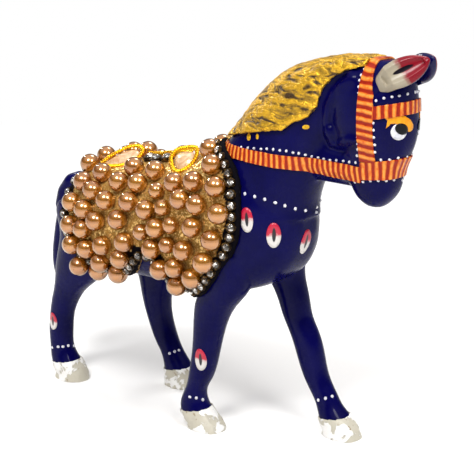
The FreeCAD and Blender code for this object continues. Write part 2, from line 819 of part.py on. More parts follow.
rear_rim, rear_cabochon = brooch(rear_centre, 0, 75, 41, leaf_shares, rear_brooch_length, rear_brooch_width)
front_rim, front_cabochon = brooch(front_centre, -41, 62, 12, shield_shares, front_brooch_length, front_brooch_width)
nodes["rear_brooch_rim"] = rear_rim
nodes["rear_cabochon"] = rear_cabochon
nodes["front_brooch_rim"] = front_rim
nodes["front_cabochon"] = front_cabochon

# Gold cord along the spine between the brooches
cord_radius = cord_diameter / 2
cord_shares = [0.32, 0.38, 0.44, 0.50, 0.56]
cord_points = []
for share in cord_shares:
    x = cloth_rear_x + share * cloth_length
    place, normal = seat_on_cloth(Vector(x, 0, rear_lobe_height), up_axis)
    cord_points.append(place + normal * cord_radius)
cord_runs = []
for start, end in zip(cord_points, cord_points[1:]):
    cord_runs.append(Part.makeCylinder(cord_radius, start.distanceToPoint(end), start, end - start))
    cord_runs.append(Part.makeSphere(cord_radius, end))
cord = join(cord_runs)
nodes["spine_cord"] = cord.cut([rear_rim, rear_cabochon, front_rim, front_cabochon])

# Three larger stones in cups beside the cord
large_stone, large_cup = stone_and_cup(spine_stone_diameter)
spine_stones = []
spine_cups = []
for share, lean in [(0.37, 11), (0.425, 15), (0.485, 13)]:
    x = cloth_rear_x + share * cloth_length
    lean = math.radians(lean)
    towards = Vector(0, -math.sin(lean), math.cos(lean))
    place, normal = seat_on_cloth(Vector(x, 0, rear_lobe_height), towards)
    spine_stones.append(stand(large_stone, place, normal))
    spine_cups.append(stand(large_cup, place, normal))
nodes["spine_stones"] = Part.makeCompound(spine_stones)
nodes["spine_cups"] = Part.makeCompound(spine_cups)

# Little gold sprigs of three leaves
leaf = Part.Face(oval(forward_axis * (sprig_length / 2), forward_axis, left_axis, sprig_length / 2, sprig_width / 2))
leaf = leaf.extrude(up_axis * sprig_thickness)
sprig_leaves = []
for turn in (-50, 0, 50):
    turned = leaf.copy()
    turned.rotate(ground_point, up_axis, turn)
    sprig_leaves.append(turned)
sprig = join(sprig_leaves)
sprigs = []
for centre, turn, rise in [(rear_centre, 84, 50), (rear_centre, 50, -10)]:
    place, normal = seat_on_cloth(centre, outward(turn, rise))
    sprigs.append(stand(sprig, place, normal))
nodes["gold_sprigs"] = Part.makeCompound(sprigs)

# Move the origin to the bottom centre of the whole horse and write the files
rear_end = nodes["tail"].optimalBoundingBox(True, False).XMin
front_end = nodes["right_ear"].optimalBoundingBox(True, False).XMax
shift = Vector(-(rear_end + front_end) / 2, 0, 0)
os.makedirs("parts", exist_ok=True)
for name, shape in nodes.items():
    shape.translate(shift)
    shape.exportStep("parts/" + name + ".step")
print("length", round(front_end - rear_end, 2), "shift", round(shift.x, 3))
print(len(nodes), "nodes")
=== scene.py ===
import math
import random

import bpy
from mathutils import Matrix, Vector
from mathutils.bvhtree import BVHTree
from mathutils.kdtree import KDTree


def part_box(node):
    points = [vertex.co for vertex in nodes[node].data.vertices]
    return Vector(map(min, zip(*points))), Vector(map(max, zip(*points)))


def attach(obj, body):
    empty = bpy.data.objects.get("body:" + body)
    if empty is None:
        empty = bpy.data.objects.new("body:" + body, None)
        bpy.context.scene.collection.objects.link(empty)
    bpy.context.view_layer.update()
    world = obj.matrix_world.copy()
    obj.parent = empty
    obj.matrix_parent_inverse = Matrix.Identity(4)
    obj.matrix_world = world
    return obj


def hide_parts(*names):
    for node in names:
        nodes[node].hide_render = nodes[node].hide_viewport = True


# Looks of a carved wooden horse: dark blue lacquer, raised painted harness, gilded mane, beaded cloth
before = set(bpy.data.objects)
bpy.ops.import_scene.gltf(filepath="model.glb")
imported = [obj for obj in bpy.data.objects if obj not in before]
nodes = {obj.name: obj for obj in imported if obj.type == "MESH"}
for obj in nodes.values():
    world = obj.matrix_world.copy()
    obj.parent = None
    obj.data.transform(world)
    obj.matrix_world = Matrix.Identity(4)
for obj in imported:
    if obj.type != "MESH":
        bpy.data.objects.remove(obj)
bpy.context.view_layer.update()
mm = 0.001
random.seed(11)
print("frame loaded")

# The view. Azimuth turns from the horse's right side towards its head, lengths are in millimetres.
view = {
    "azimuth": 40.0,
    "elevation": 16.0,
    "distance": 400.0,
    "aim": (-1.518, 10.7, 55.0),
    "lens": 97.2,
    "sensor": 36.0,
    "photoSize": 474,
}


def directionTo(azimuth, elevation):
    # From the horse towards a camera or lamp
    turned = math.radians(azimuth)
    raised = math.radians(elevation)
    level = math.cos(raised)
    return Vector((math.sin(turned) * level, -math.cos(turned) * level, math.sin(raised)))


def placeCamera():
    away = directionTo(view["azimuth"], view["elevation"])
    aim = Vector(view["aim"]) * mm
    bpy.ops.object.camera_add(location=aim + away * view["distance"] * mm)
    made = bpy.context.object
    made.rotation_euler = (-away).to_track_quat("-Z", "Y").to_euler()
    made.data.lens = view["lens"]
    made.data.sensor_width = view["sensor"]
    made.data.clip_start = 0.01
    bpy.context.scene.camera = made
    bpy.context.view_layer.update()
    return made


camera = placeCamera()
towardsCamera = camera.matrix_world.inverted()
focal = view["lens"] / view["sensor"] * view["photoSize"]  # in the photograph's pixels
halfPhoto = view["photoSize"] / 2


def throughPixel(across, down):
    # The straight line from the camera through a point of the photograph
    local = Vector(((across - halfPhoto) / focal, (halfPhoto - down) / focal, -1))
    direction = camera.matrix_world.to_3x3() @ local
    return camera.matrix_world.translation.copy(), direction.normalized()


def inPhoto(place):
    # Where a point shows in the photograph
    local = towardsCamera @ place
    return halfPhoto - focal * local.x / local.z, halfPhoto + focal * local.y / local.z


# Materials. Sizes and depths are in millimetres.
def linear(hexColour):
    digits = hexColour.lstrip("#")
    channels = []
    for start in (0, 2, 4):
        value = int(digits[start:start + 2], 16) / 255
        channels.append(value / 12.92 if value <= 0.04045 else ((value + 0.055) / 1.055) ** 2.4)
    return (*channels, 1.0)


def scaleFor(size):
    # The texture scale whose lumps are about size millimetres across
    return 1 / (size * mm)


def addNode(material, kind, sockets=None, **settings):
    # One node with its settings, values and links. A node given as a value stands for its first live output.
    tree = material.node_tree
    made = tree.nodes.new(kind)
    for name, value in settings.items():
        setattr(made, name, value)
    for name, value in (sockets or {}).items():
        if isinstance(value, bpy.types.Node):
            value = next(output for output in value.outputs if output.enabled)
        if isinstance(value, bpy.types.NodeSocket):
            tree.links.new(value, made.inputs[name])
        elif isinstance(value, str):
            made.inputs[name].default_value = linear(value)
        else:
            made.inputs[name].default_value = value
    return made


def newMaterial(name):
    # An empty material with its Object coordinates
    material = bpy.data.materials.new(name)
    material.use_nodes = True
    material.node_tree.nodes.clear()
    return material, addNode(material, "ShaderNodeTexCoord").outputs["Object"]


def finishMaterial(material, sockets):
    shader = addNode(material, "ShaderNodeBsdfPrincipled", sockets)
    addNode(material, "ShaderNodeOutputMaterial", {"Surface": shader})
    return material


lacquerLook = {
    "colours": ("#04033a", "#070645"),
    "mottleSize": 9.0,
    "rippleSize": 5.0,
    "rippleDepth": 0.22,
    "brushSize": 0.9,
    "brushDepth": 0.025,
    "smudgeSize": 2.4,
    "roughness": (0.20, 0.34),
}


def makeLacquer():
    # Brushed oil lacquer over carved wood: deep blue, wet gloss that wavers where the brush left ripples
    look = lacquerLook
    material, coords = newMaterial("brushed_blue_lacquer")
    mottle = addNode(material, "ShaderNodeTexNoise", {
        "Vector": coords, "Scale": scaleFor(look["mottleSize"]), "Detail": 3.0})
    tone = addNode(material, "ShaderNodeMapRange", {"Value": mottle, "From Min": 0.35, "From Max": 0.7})
    colour = addNode(material, "ShaderNodeMix", {
        0: tone, 6: look["colours"][0], 7: look["colours"][1]}, data_type="RGBA")
    ripples = addNode(material, "ShaderNodeTexNoise", {
        "Vector": coords, "Scale": scaleFor(look["rippleSize"]), "Detail": 1.0})
    rippled = addNode(material, "ShaderNodeBump", {
        "Height": ripples, "Distance": look["rippleDepth"] * mm, "Strength": 0.8})
    strokes = addNode(material, "ShaderNodeTexNoise", {
        "Vector": coords, "Scale": scaleFor(look["brushSize"]), "Detail": 2.0})
    brushed = addNode(material, "ShaderNodeBump", {
        "Height": strokes, "Distance": look["brushDepth"] * mm, "Strength": 0.7, "Normal": rippled})
    smudges = addNode(material, "ShaderNodeTexNoise", {
        "Vector": coords, "Scale": scaleFor(look["smudgeSize"]), "Detail": 3.0})
    rough = addNode(material, "ShaderNodeMapRange", {
        "Value": smudges, "From Min": 0.3, "From Max": 0.75,
        "To Min": look["roughness"][0], "To Max": look["roughness"][1]})
    return finishMaterial(material, {
        "Base Color": colour, "Roughness": rough, "Normal": brushed, "Specular IOR Level": 0.03,
        "Coat Weight": 0.12, "Coat Roughness": 0.05})


hoofLook = {
    "whites": ("#f4f3f0", "#e2dfda"),
    "primer": "#bdb7a6",
    "wood": "#8d7a5c",
    "chipSize": 5.5,
    "chipDepth": 0.30,
    "woodSize": 1.6,
    "shadeSize": 2.0,
    "lumpSize": 1.8,
    "lumpDepth": 0.35,
}


def makeHoofPaint():
    # Thick chalky white over carved wood, knocked off in flakes that show grey primer and wood
    look = hoofLook
    material, coords = newMaterial("chipped_white_hoof_paint")
    knocks = addNode(material, "ShaderNodeTexNoise", {
        "Vector": coords, "Scale": scaleFor(look["chipSize"]), "Detail": 6.0, "Roughness": 0.6,
        "Distortion": 0.5})
    chips = addNode(material, "ShaderNodeMapRange", {"Value": knocks, "From Min": 0.50, "From Max": 0.52})
    grain = addNode(material, "ShaderNodeTexNoise", {
        "Vector": coords, "Scale": scaleFor(look["woodSize"]), "Detail": 4.0})
    wood = addNode(material, "ShaderNodeMapRange", {"Value": grain, "From Min": 0.62, "From Max": 0.72})
    under = addNode(material, "ShaderNodeMix", {
        0: wood, 6: look["primer"], 7: look["wood"]}, data_type="RGBA")
    clouds = addNode(material, "ShaderNodeTexNoise", {
        "Vector": coords, "Scale": scaleFor(look["shadeSize"]), "Detail": 4.0})
    white = addNode(material, "ShaderNodeMix", {
        0: clouds, 6: look["whites"][0], 7: look["whites"][1]}, data_type="RGBA")
    colour = addNode(material, "ShaderNodeMix", {0: chips, 6: white, 7: under}, data_type="RGBA")
    left = addNode(material, "ShaderNodeMath", {0: 1.0, 1: chips}, operation="SUBTRACT")
    flaked = addNode(material, "ShaderNodeBump", {
        "Height": left, "Distance": look["chipDepth"] * mm, "Strength": 0.7})
    lumps = addNode(material, "ShaderNodeTexNoise", {
        "Vector": coords, "Scale": scaleFor(look["lumpSize"]), "Detail": 4.0})
    lumpy = addNode(material, "ShaderNodeBump", {
        "Height": lumps, "Distance": look["lumpDepth"] * mm, "Strength": 0.8, "Normal": flaked})
    return finishMaterial(material, {
        "Base Color": colour, "Roughness": 0.48, "Normal": lumpy, "Coat Weight": 0.2, "Coat Roughness": 0.25})


bandLook = {
    "glareOranges": ("#ea9840", "#d4681a"),
    "stain": "#d25a16",
    "reds": ("#7a1206", "#a8260c"),
    "wobbleSize": 3.0,
    "wobble": 0.4,
    "stainSize": 1.3,
    "redSize": 1.1,
    "ridgeDepth": 0.16,
}
# Pitch is one orange and one red stroke. Around gives a turning band's middle in X and its radius.
stripes = {
    "striped_rein_paint": {"pitch": 1.75, "lean": 0.1},
    "striped_nose_paint": {"pitch": 2.5, "around": (59.4, 8.6)},
    "striped_brow_paint": {"pitch": 2.2, "around": (60.4, 9.0)},
    "striped_cheek_paint": {"pitch": 2.1, "upright": True, "lean": 0.1},
}


def makeBandPaint(name, pitch, around=None, upright=False, lean=0.0):
    # Orange gloss paint raised in a rope of strokes, with a dark red stroke between each pair and a painted
    # highlight along each orange crest
    look = bandLook
    material, coords = newMaterial(name)
    split = addNode(material, "ShaderNodeSeparateXYZ", {0: coords})
    if around is not None:
        forward = addNode(material, "ShaderNodeMath", {
            0: split.outputs["X"], 1: around[0] * mm}, operation="SUBTRACT")
        angle = addNode(material, "ShaderNodeMath", {0: split.outputs["Y"], 1: forward}, operation="ARCTAN2")
        along = addNode(material, "ShaderNodeMath", {0: angle, 1: around[1] / pitch}, operation="MULTIPLY")
    else:
        course = split.outputs["Z"] if upright else split.outputs["X"]
        along = addNode(material, "ShaderNodeMath", {0: course, 1: pitch * mm}, operation="DIVIDE")
    other = split.outputs["X"] if upright else split.outputs["Z"]
    leaning = addNode(material, "ShaderNodeMath", {0: other, 1: lean / (pitch * mm)}, operation="MULTIPLY")
    unsteady = addNode(material, "ShaderNodeTexNoise", {
        "Vector": coords, "Scale": scaleFor(look["wobbleSize"]), "Detail": 3.0})
    wobble = addNode(material, "ShaderNodeMath", {0: unsteady, 1: look["wobble"]}, operation="MULTIPLY")
    slanted = addNode(material, "ShaderNodeMath", {0: along, 1: leaning}, operation="ADD")
    phase = addNode(material, "ShaderNodeMath", {0: slanted, 1: wobble}, operation="ADD")
    turn = addNode(material, "ShaderNodeMath", {0: phase, 1: 2 * math.pi}, operation="MULTIPLY")
    wave = addNode(material, "ShaderNodeMath", {0: turn}, operation="SINE")
    red = addNode(material, "ShaderNodeMapRange", {"Value": wave, "From Min": -0.05, "From Max": 0.35})
    # Painted highlight: the orange is paler along the crest of each raised stroke
    glareBlend = addNode(material, "ShaderNodeMapRange", {"Value": wave, "From Min": -0.9, "From Max": -0.2})
    orange = addNode(material, "ShaderNodeMix", {
        0: glareBlend, 6: look["glareOranges"][0], 7: look["glareOranges"][1]}, data_type="RGBA")
    patches = addNode(material, "ShaderNodeTexNoise", {
        "Vector": coords, "Scale": scaleFor(look["stainSize"]), "Detail": 3.0})
    stain = addNode(material, "ShaderNodeMapRange", {"Value": patches, "From Min": 0.45, "From Max": 0.75})
    stained = addNode(material, "ShaderNodeMix", {0: stain, 6: orange, 7: look["stain"]}, data_type="RGBA")
    streaks = addNode(material, "ShaderNodeTexNoise", {
        "Vector": coords, "Scale": scaleFor(look["redSize"]), "Detail": 2.0})
    scarlet = addNode(material, "ShaderNodeMix", {
        0: streaks, 6: look["reds"][0], 7: look["reds"][1]}, data_type="RGBA")
    colour = addNode(material, "ShaderNodeMix", {0: red, 6: stained, 7: scarlet}, data_type="RGBA")
    height = addNode(material, "ShaderNodeMath", {0: 1.0, 1: wave}, operation="SUBTRACT")
    ridged = addNode(material, "ShaderNodeBump", {
        "Height": height, "Distance": look["ridgeDepth"] * mm, "Strength": 0.7})
    return finishMaterial(material, {
        "Base Color": colour, "Roughness": 0.33, "Normal": ridged, "Specular IOR Level": 0.15,
        "Coat Weight": 0.15, "Coat Roughness": 0.1})


pasteLook = {
    "golds": ("#fccc40", "#cc9216"),
    "gougeShade": "#3c2604",
    "strokeSize": 1.9,
    "strokeDepth": 1.5,
    "strokeLean": 32,
    "strokeStretch": (0.30, 0.8, 1.0),
    "gritSize": 0.5,
    "gritDepth": 0.22,
}


def makeGildedPaste():
    # Modelling paste combed with a tool while soft, then gilded: bright ridges, with painted shade darkening
    # the gouges between
    look = pasteLook
    material, coords = newMaterial("gilded_tooled_paste")
    turned = addNode(material, "ShaderNodeMapping", {
        "Vector": coords, "Rotation": (0.0, math.radians(look["strokeLean"]), 0.0),
        "Scale": look["strokeStretch"]})
    strokes = addNode(material, "ShaderNodeTexNoise", {
        "Vector": turned, "Scale": scaleFor(look["strokeSize"]), "Detail": 3.0, "Roughness": 0.55,
        "Distortion": 0.8})
    grit = addNode(material, "ShaderNodeTexNoise", {
        "Vector": coords, "Scale": scaleFor(look["gritSize"]), "Detail": 3.0, "Roughness": 0.6})
    ridges = addNode(material, "ShaderNodeMapRange", {"Value": strokes, "From Min": 0.36, "From Max": 0.52})
    gold = addNode(material, "ShaderNodeMix", {
        0: grit, 6: look["golds"][0], 7: look["golds"][1]}, data_type="RGBA")
    # Painted shade: near black brown wherever the combed surface lies low
    colour = addNode(material, "ShaderNodeMix", {0: ridges, 6: look["gougeShade"], 7: gold}, data_type="RGBA")
    combed = addNode(material, "ShaderNodeBump", {
        "Height": strokes, "Distance": look["strokeDepth"] * mm, "Strength": 1.0})
    crumbly = addNode(material, "ShaderNodeBump", {
        "Height": grit, "Distance": look["gritDepth"] * mm, "Strength": 0.8, "Normal": combed})
    metal = addNode(material, "ShaderNodeMapRange", {"Value": ridges, "To Min": 0.25, "To Max": 0.85})
    rough = addNode(material, "ShaderNodeMapRange", {
        "Value": grit, "From Min": 0.3, "From Max": 0.7, "To Min": 0.22, "To Max": 0.45})
    return finishMaterial(material, {
        "Base Color": colour, "Metallic": metal, "Roughness": rough, "Normal": crumbly})


clothLook = {
    "grounds": ("#7d5624", "#c0924c"),
    "glitter": "#ecc67c",
    "edgeShadeColour": "#0c0a10",
    "flakeSize": 0.45,
    "flakeTilt": 0.14,
    "stainSize": 1.6,
    "weaveSize": 0.9,
    "weaveDepth": 0.25,
}


def makeGlitterCloth():
    # Tan brocade with gold glitter glued over it: matte between, with hard points of light.
    # The real weave is finer, and is drawn as coarse as it needs to show.
    look = clothLook
    material, coords = newMaterial("gold_glitter_cloth")
    flakes = addNode(material, "ShaderNodeTexVoronoi", {
        "Vector": coords, "Scale": scaleFor(look["flakeSize"])})
    pick = addNode(material, "ShaderNodeSeparateXYZ", {0: flakes.outputs["Color"]})
    bright = addNode(material, "ShaderNodeMapRange", {
        "Value": pick.outputs["X"], "From Min": 0.55, "From Max": 0.75})
    stains = addNode(material, "ShaderNodeTexNoise", {
        "Vector": coords, "Scale": scaleFor(look["stainSize"]), "Detail": 4.0})
    ground = addNode(material, "ShaderNodeMix", {
        0: stains, 6: look["grounds"][0], 7: look["grounds"][1]}, data_type="RGBA")
    glittery = addNode(material, "ShaderNodeMix", {
        0: bright, 6: ground, 7: look["glitter"]}, data_type="RGBA")
    # Painted shade: a near black band along the cloth's edge, outside the chain of stones
    edgeShade = addNode(material, "ShaderNodeAttribute", attribute_name="edgeShade").outputs["Fac"]
    colour = addNode(material, "ShaderNodeMix", {0: edgeShade, 6: glittery, 7: look["edgeShadeColour"]}, data_type="RGBA")
    inside = addNode(material, "ShaderNodeMath", {0: 1.0, 1: edgeShade}, operation="SUBTRACT")
    shiny = addNode(material, "ShaderNodeMath", {0: bright, 1: inside}, operation="MULTIPLY")
    metal = addNode(material, "ShaderNodeMapRange", {"Value": shiny, "To Min": 0.05, "To Max": 0.85})
    rough = addNode(material, "ShaderNodeMapRange", {"Value": shiny, "To Min": 0.8, "To Max": 0.28})
    tilted = addNode(material, "ShaderNodeBump", {
        "Height": pick.outputs["Y"], "Distance": look["flakeTilt"] * mm, "Strength": 0.9})
    weave = addNode(material, "ShaderNodeTexNoise", {
        "Vector": coords, "Scale": scaleFor(look["weaveSize"]), "Detail": 4.0})
    woven = addNode(material, "ShaderNodeBump", {
        "Height": weave, "Distance": look["weaveDepth"] * mm, "Strength": 0.7, "Normal": tilted})
    return finishMaterial(material, {
        "Base Color": colour, "Metallic": metal, "Roughness": rough, "Normal": woven,
        "Specular IOR Level": 0.04})


pearlLook = {
    "middles": ("#be8228", "#aa6c1e"),
    "shadedRims": ("#602a06", "#763a0c"),
    "coatTint": "#fff0b4",
    "middleSize": 7.0,
    "shadedRimSize": 5.0,
    "skinSize": 1.4,
    "skinDepth": 0.012,
}


def makePearl():
    # Imitation pearl: rose gold lustre lacquer on glass, paler in the middle; painted shade makes it deep
    # copper round the rim
    look = pearlLook
    material, coords = newMaterial("rose_gold_pearl_lustre")
    facing = addNode(material, "ShaderNodeLayerWeight", {"Blend": 0.42}).outputs["Facing"]
    clouds = addNode(material, "ShaderNodeTexNoise", {
        "Vector": coords, "Scale": scaleFor(look["middleSize"]), "Detail": 2.0})
    tone = addNode(material, "ShaderNodeMapRange", {"Value": clouds, "From Min": 0.35, "From Max": 0.65})
    middle = addNode(material, "ShaderNodeMix", {
        0: tone, 6: look["middles"][0], 7: look["middles"][1]}, data_type="RGBA")
    shadedRimClouds = addNode(material, "ShaderNodeTexNoise", {
        "Vector": coords, "Scale": scaleFor(look["shadedRimSize"]), "Detail": 1.0})
    rim = addNode(material, "ShaderNodeMix", {
        0: shadedRimClouds, 6: look["shadedRims"][0], 7: look["shadedRims"][1]}, data_type="RGBA")
    # Painted shade: darker as the surface turns away from the camera, towards the rim of each bead
    edge = addNode(material, "ShaderNodeMapRange", {"Value": facing, "From Min": 0.15, "From Max": 0.9})
    colour = addNode(material, "ShaderNodeMix", {0: edge, 6: middle, 7: rim}, data_type="RGBA")
    dips = addNode(material, "ShaderNodeTexNoise", {
        "Vector": coords, "Scale": scaleFor(look["skinSize"]), "Detail": 2.0})
    skinned = addNode(material, "ShaderNodeBump", {
        "Height": dips, "Distance": look["skinDepth"] * mm, "Strength": 0.5})
    return finishMaterial(material, {
        "Base Color": colour, "Metallic": 0.6, "Roughness": 0.22, "Normal": skinned, "Coat Weight": 1.0,
        "Coat IOR": 2.1, "Coat Roughness": 0.07, "Coat Tint": look["coatTint"]})


stoneLook = {"dark": "#4e4840", "bright": "#fbf8f2", "facetSize": 0.8, "facetDepth": 0.5}


def makeRhinestone():
    # Foil-backed cut glass: tiny facets with painted glints, some near white and the rest dark grey
    look = stoneLook
    material, coords = newMaterial("foil_backed_rhinestone")
    facets = addNode(material, "ShaderNodeTexVoronoi", {
        "Vector": coords, "Scale": scaleFor(look["facetSize"])})
    tone = addNode(material, "ShaderNodeSeparateXYZ", {0: facets.outputs["Color"]})
    # Painted glints: a share of the facets is coloured near white, the others dark grey
    glint = addNode(material, "ShaderNodeMapRange", {
        "Value": tone.outputs["X"], "From Min": 0.55, "From Max": 0.85})
    colour = addNode(material, "ShaderNodeMix", {
        0: glint, 6: look["dark"], 7: look["bright"]}, data_type="RGBA")
    cut = addNode(material, "ShaderNodeBump", {
        "Height": facets.outputs["Distance"], "Distance": look["facetDepth"] * mm, "Strength": 1.0})
    return finishMaterial(material, {
        "Base Color": colour, "Metallic": 0.75, "Roughness": 0.08, "Normal": cut,
        "Coat Weight": 1.0, "Coat Roughness": 0.03})


cupLook = {"tarnish": "#2b1f12", "worn": "#8a6a35", "wearSize": 0.8, "pitSize": 0.5, "pitDepth": 0.06}


def makeTarnishedCup():
    # Pressed brass cups gone brown black, bright only where they rub
    look = cupLook
    material, coords = newMaterial("tarnished_brass_cup")
    rubbing = addNode(material, "ShaderNodeTexNoise", {
        "Vector": coords, "Scale": scaleFor(look["wearSize"]), "Detail": 4.0})
    worn = addNode(material, "ShaderNodeMapRange", {"Value": rubbing, "From Min": 0.5, "From Max": 0.7})
    colour = addNode(material, "ShaderNodeMix", {
        0: worn, 6: look["tarnish"], 7: look["worn"]}, data_type="RGBA")
    rough = addNode(material, "ShaderNodeMapRange", {"Value": worn, "To Min": 0.55, "To Max": 0.32})
    pits = addNode(material, "ShaderNodeTexNoise", {
        "Vector": coords, "Scale": scaleFor(look["pitSize"]), "Detail": 3.0})
    pitted = addNode(material, "ShaderNodeBump", {
        "Height": pits, "Distance": look["pitDepth"] * mm, "Strength": 0.6})
    return finishMaterial(material, {
        "Base Color": colour, "Metallic": 0.85, "Roughness": rough, "Normal": pitted})


wireLook = {
    "golds": ("#ffc61e", "#d99408"),
    "toneSize": 1.2,
    "scuffSize": 0.6,
    "dentSize": 0.5,
    "dentDepth": 0.05,
}


def makeGoldWire():
    # Bright gold plated wire, a little scuffed
    look = wireLook
    material, coords = newMaterial("gold_plated_wire")
    tone = addNode(material, "ShaderNodeTexNoise", {
        "Vector": coords, "Scale": scaleFor(look["toneSize"]), "Detail": 3.0})
    colour = addNode(material, "ShaderNodeMix", {
        0: tone, 6: look["golds"][0], 7: look["golds"][1]}, data_type="RGBA")
    scuffs = addNode(material, "ShaderNodeTexNoise", {
        "Vector": coords, "Scale": scaleFor(look["scuffSize"]), "Detail": 3.0})
    rough = addNode(material, "ShaderNodeMapRange", {
        "Value": scuffs, "From Min": 0.3, "From Max": 0.7, "To Min": 0.18, "To Max": 0.38})
    dents = addNode(material, "ShaderNodeTexNoise", {
        "Vector": coords, "Scale": scaleFor(look["dentSize"]), "Detail": 2.0})
    dented = addNode(material, "ShaderNodeBump", {
        "Height": dents, "Distance": look["dentDepth"] * mm, "Strength": 0.6})
    return finishMaterial(material, {
        "Base Color": colour, "Metallic": 0.9, "Roughness": rough, "Normal": dented})


cabochonLook = {"pale": "#f0d3ac", "warm": "#cf9a6a", "swirlSize": 3.0, "waveSize": 1.2, "waveDepth": 0.02}


def makePaleStone():
    # Pale moonstone paste with cloudy swirls under a glass-smooth top
    look = cabochonLook
    material, coords = newMaterial("pale_cloudy_cabochon")
    clouds = addNode(material, "ShaderNodeTexNoise", {
        "Vector": coords, "Scale": scaleFor(look["swirlSize"]), "Detail": 3.0, "Distortion": 1.5})
    swirl = addNode(material, "ShaderNodeMapRange", {"Value": clouds, "From Min": 0.35, "From Max": 0.65})
    colour = addNode(material, "ShaderNodeMix", {
        0: swirl, 6: look["pale"], 7: look["warm"]}, data_type="RGBA")
    waves = addNode(material, "ShaderNodeTexNoise", {
        "Vector": coords, "Scale": scaleFor(look["waveSize"]), "Detail": 2.0})
    polished = addNode(material, "ShaderNodeBump", {
        "Height": waves, "Distance": look["waveDepth"] * mm, "Strength": 0.5})
    return finishMaterial(material, {
        "Base Color": colour, "Metallic": 0.15, "Roughness": 0.22, "Normal": polished,
        "Coat Weight": 0.9, "Coat Roughness": 0.05})


enamelLook = {"strokeDepth": 0.05, "strokeSize": 1.2}


def makeEnamelPaint(name, first, second, size=enamelLook["strokeSize"]):
    # Brush dabs of gloss enamel, thicker in the middle of each dab
    material, coords = newMaterial(name)
    clouds = addNode(material, "ShaderNodeTexNoise", {
        "Vector": coords, "Scale": scaleFor(size), "Detail": 3.0})
    tone = addNode(material, "ShaderNodeMapRange", {"Value": clouds, "From Min": 0.35, "From Max": 0.7})
    colour = addNode(material, "ShaderNodeMix", {0: tone, 6: first, 7: second}, data_type="RGBA")
    strokes = addNode(material, "ShaderNodeTexNoise", {
        "Vector": coords, "Scale": scaleFor(size), "Detail": 2.0})
    brushed = addNode(material, "ShaderNodeBump", {
        "Height": strokes, "Distance": enamelLook["strokeDepth"] * mm, "Strength": 0.6})
    return finishMaterial(material, {
        "Base Color": colour, "Roughness": 0.35, "Specular IOR Level": 0.15, "Normal": brushed,
        "Coat Weight": 0.2, "Coat Roughness": 0.15})


def addSlit(material, along, across, middle, half):
    # Grows from 0 in the middle of a painted slit to 1 at its edge
    squares = []
    for direction, centre, reach in zip((across, along), middle, half):
        offset = addNode(material, "ShaderNodeMath", {0: direction, 1: centre}, operation="SUBTRACT")
        share = addNode(material, "ShaderNodeMath", {0: offset, 1: reach}, operation="DIVIDE")
        squares.append(addNode(material, "ShaderNodeMath", {0: share, 1: 2.0}, operation="POWER"))
    return addNode(material, "ShaderNodeMath", {0: squares[0], 1: squares[1]}, operation="ADD")


petalLook = {
    "white": "#d2cdc8",
    "crimson": "#b81034",
    "slit": "#0a0410",
    "slitMiddle": (0.52, 0.52),
    "slitHalf": (0.13, 0.28),
    "edgeSize": 1.4,
    "edgeWander": 0.35,
    "strokeSize": 1.0,
    "strokeDepth": 0.06,
}


def makePetalPaint():
    # A petal painted wet in wet: crimson above runs into white below, with a black slit in the middle
    look = petalLook
    material, coords = newMaterial("crimson_white_petal_paint")
    uv = addNode(material, "ShaderNodeUVMap")
    split = addNode(material, "ShaderNodeSeparateXYZ", {0: uv})
    wander = addNode(material, "ShaderNodeTexNoise", {
        "Vector": coords, "Scale": scaleFor(look["edgeSize"]), "Detail": 3.0})
    ragged = addNode(material, "ShaderNodeMath", {0: wander, 1: look["edgeWander"]}, operation="MULTIPLY")
    height = addNode(material, "ShaderNodeMath", {0: split.outputs["Y"], 1: ragged}, operation="ADD")
    red = addNode(material, "ShaderNodeMapRange", {"Value": height, "From Min": 0.60, "From Max": 0.74})
    petal = addNode(material, "ShaderNodeMix", {
        0: red, 6: look["white"], 7: look["crimson"]}, data_type="RGBA")
    reach = addSlit(material, split.outputs["Y"], split.outputs["X"], look["slitMiddle"], look["slitHalf"])
    slit = addNode(material, "ShaderNodeMapRange", {"Value": reach, "From Min": 1.15, "From Max": 0.85})
    colour = addNode(material, "ShaderNodeMix", {0: slit, 6: petal, 7: look["slit"]}, data_type="RGBA")
    strokes = addNode(material, "ShaderNodeTexNoise", {
        "Vector": coords, "Scale": scaleFor(look["strokeSize"]), "Detail": 2.0})
    brushed = addNode(material, "ShaderNodeBump", {
        "Height": strokes, "Distance": look["strokeDepth"] * mm, "Strength": 0.6})
    return finishMaterial(material, {
        "Base Color": colour, "Roughness": 0.34, "Normal": brushed,
        "Coat Weight": 0.2, "Coat Roughness": 0.15})


earLook = {
    # The hollow's white is a dull grey beige: painted shade
    "white": "#9c927e",
    "crimson": "#7c061a",
    "slit": "#0c0512",
    "slitMiddle": (-0.10, 0.50),
    "slitHalf": (0.16, 0.20),
    "edgeSize": 1.6,
    "edgeWander": 0.16,
    "mottleSize": 6.0,
    "rippleSize": 3.0,
    "rippleDepth": 0.12,
}


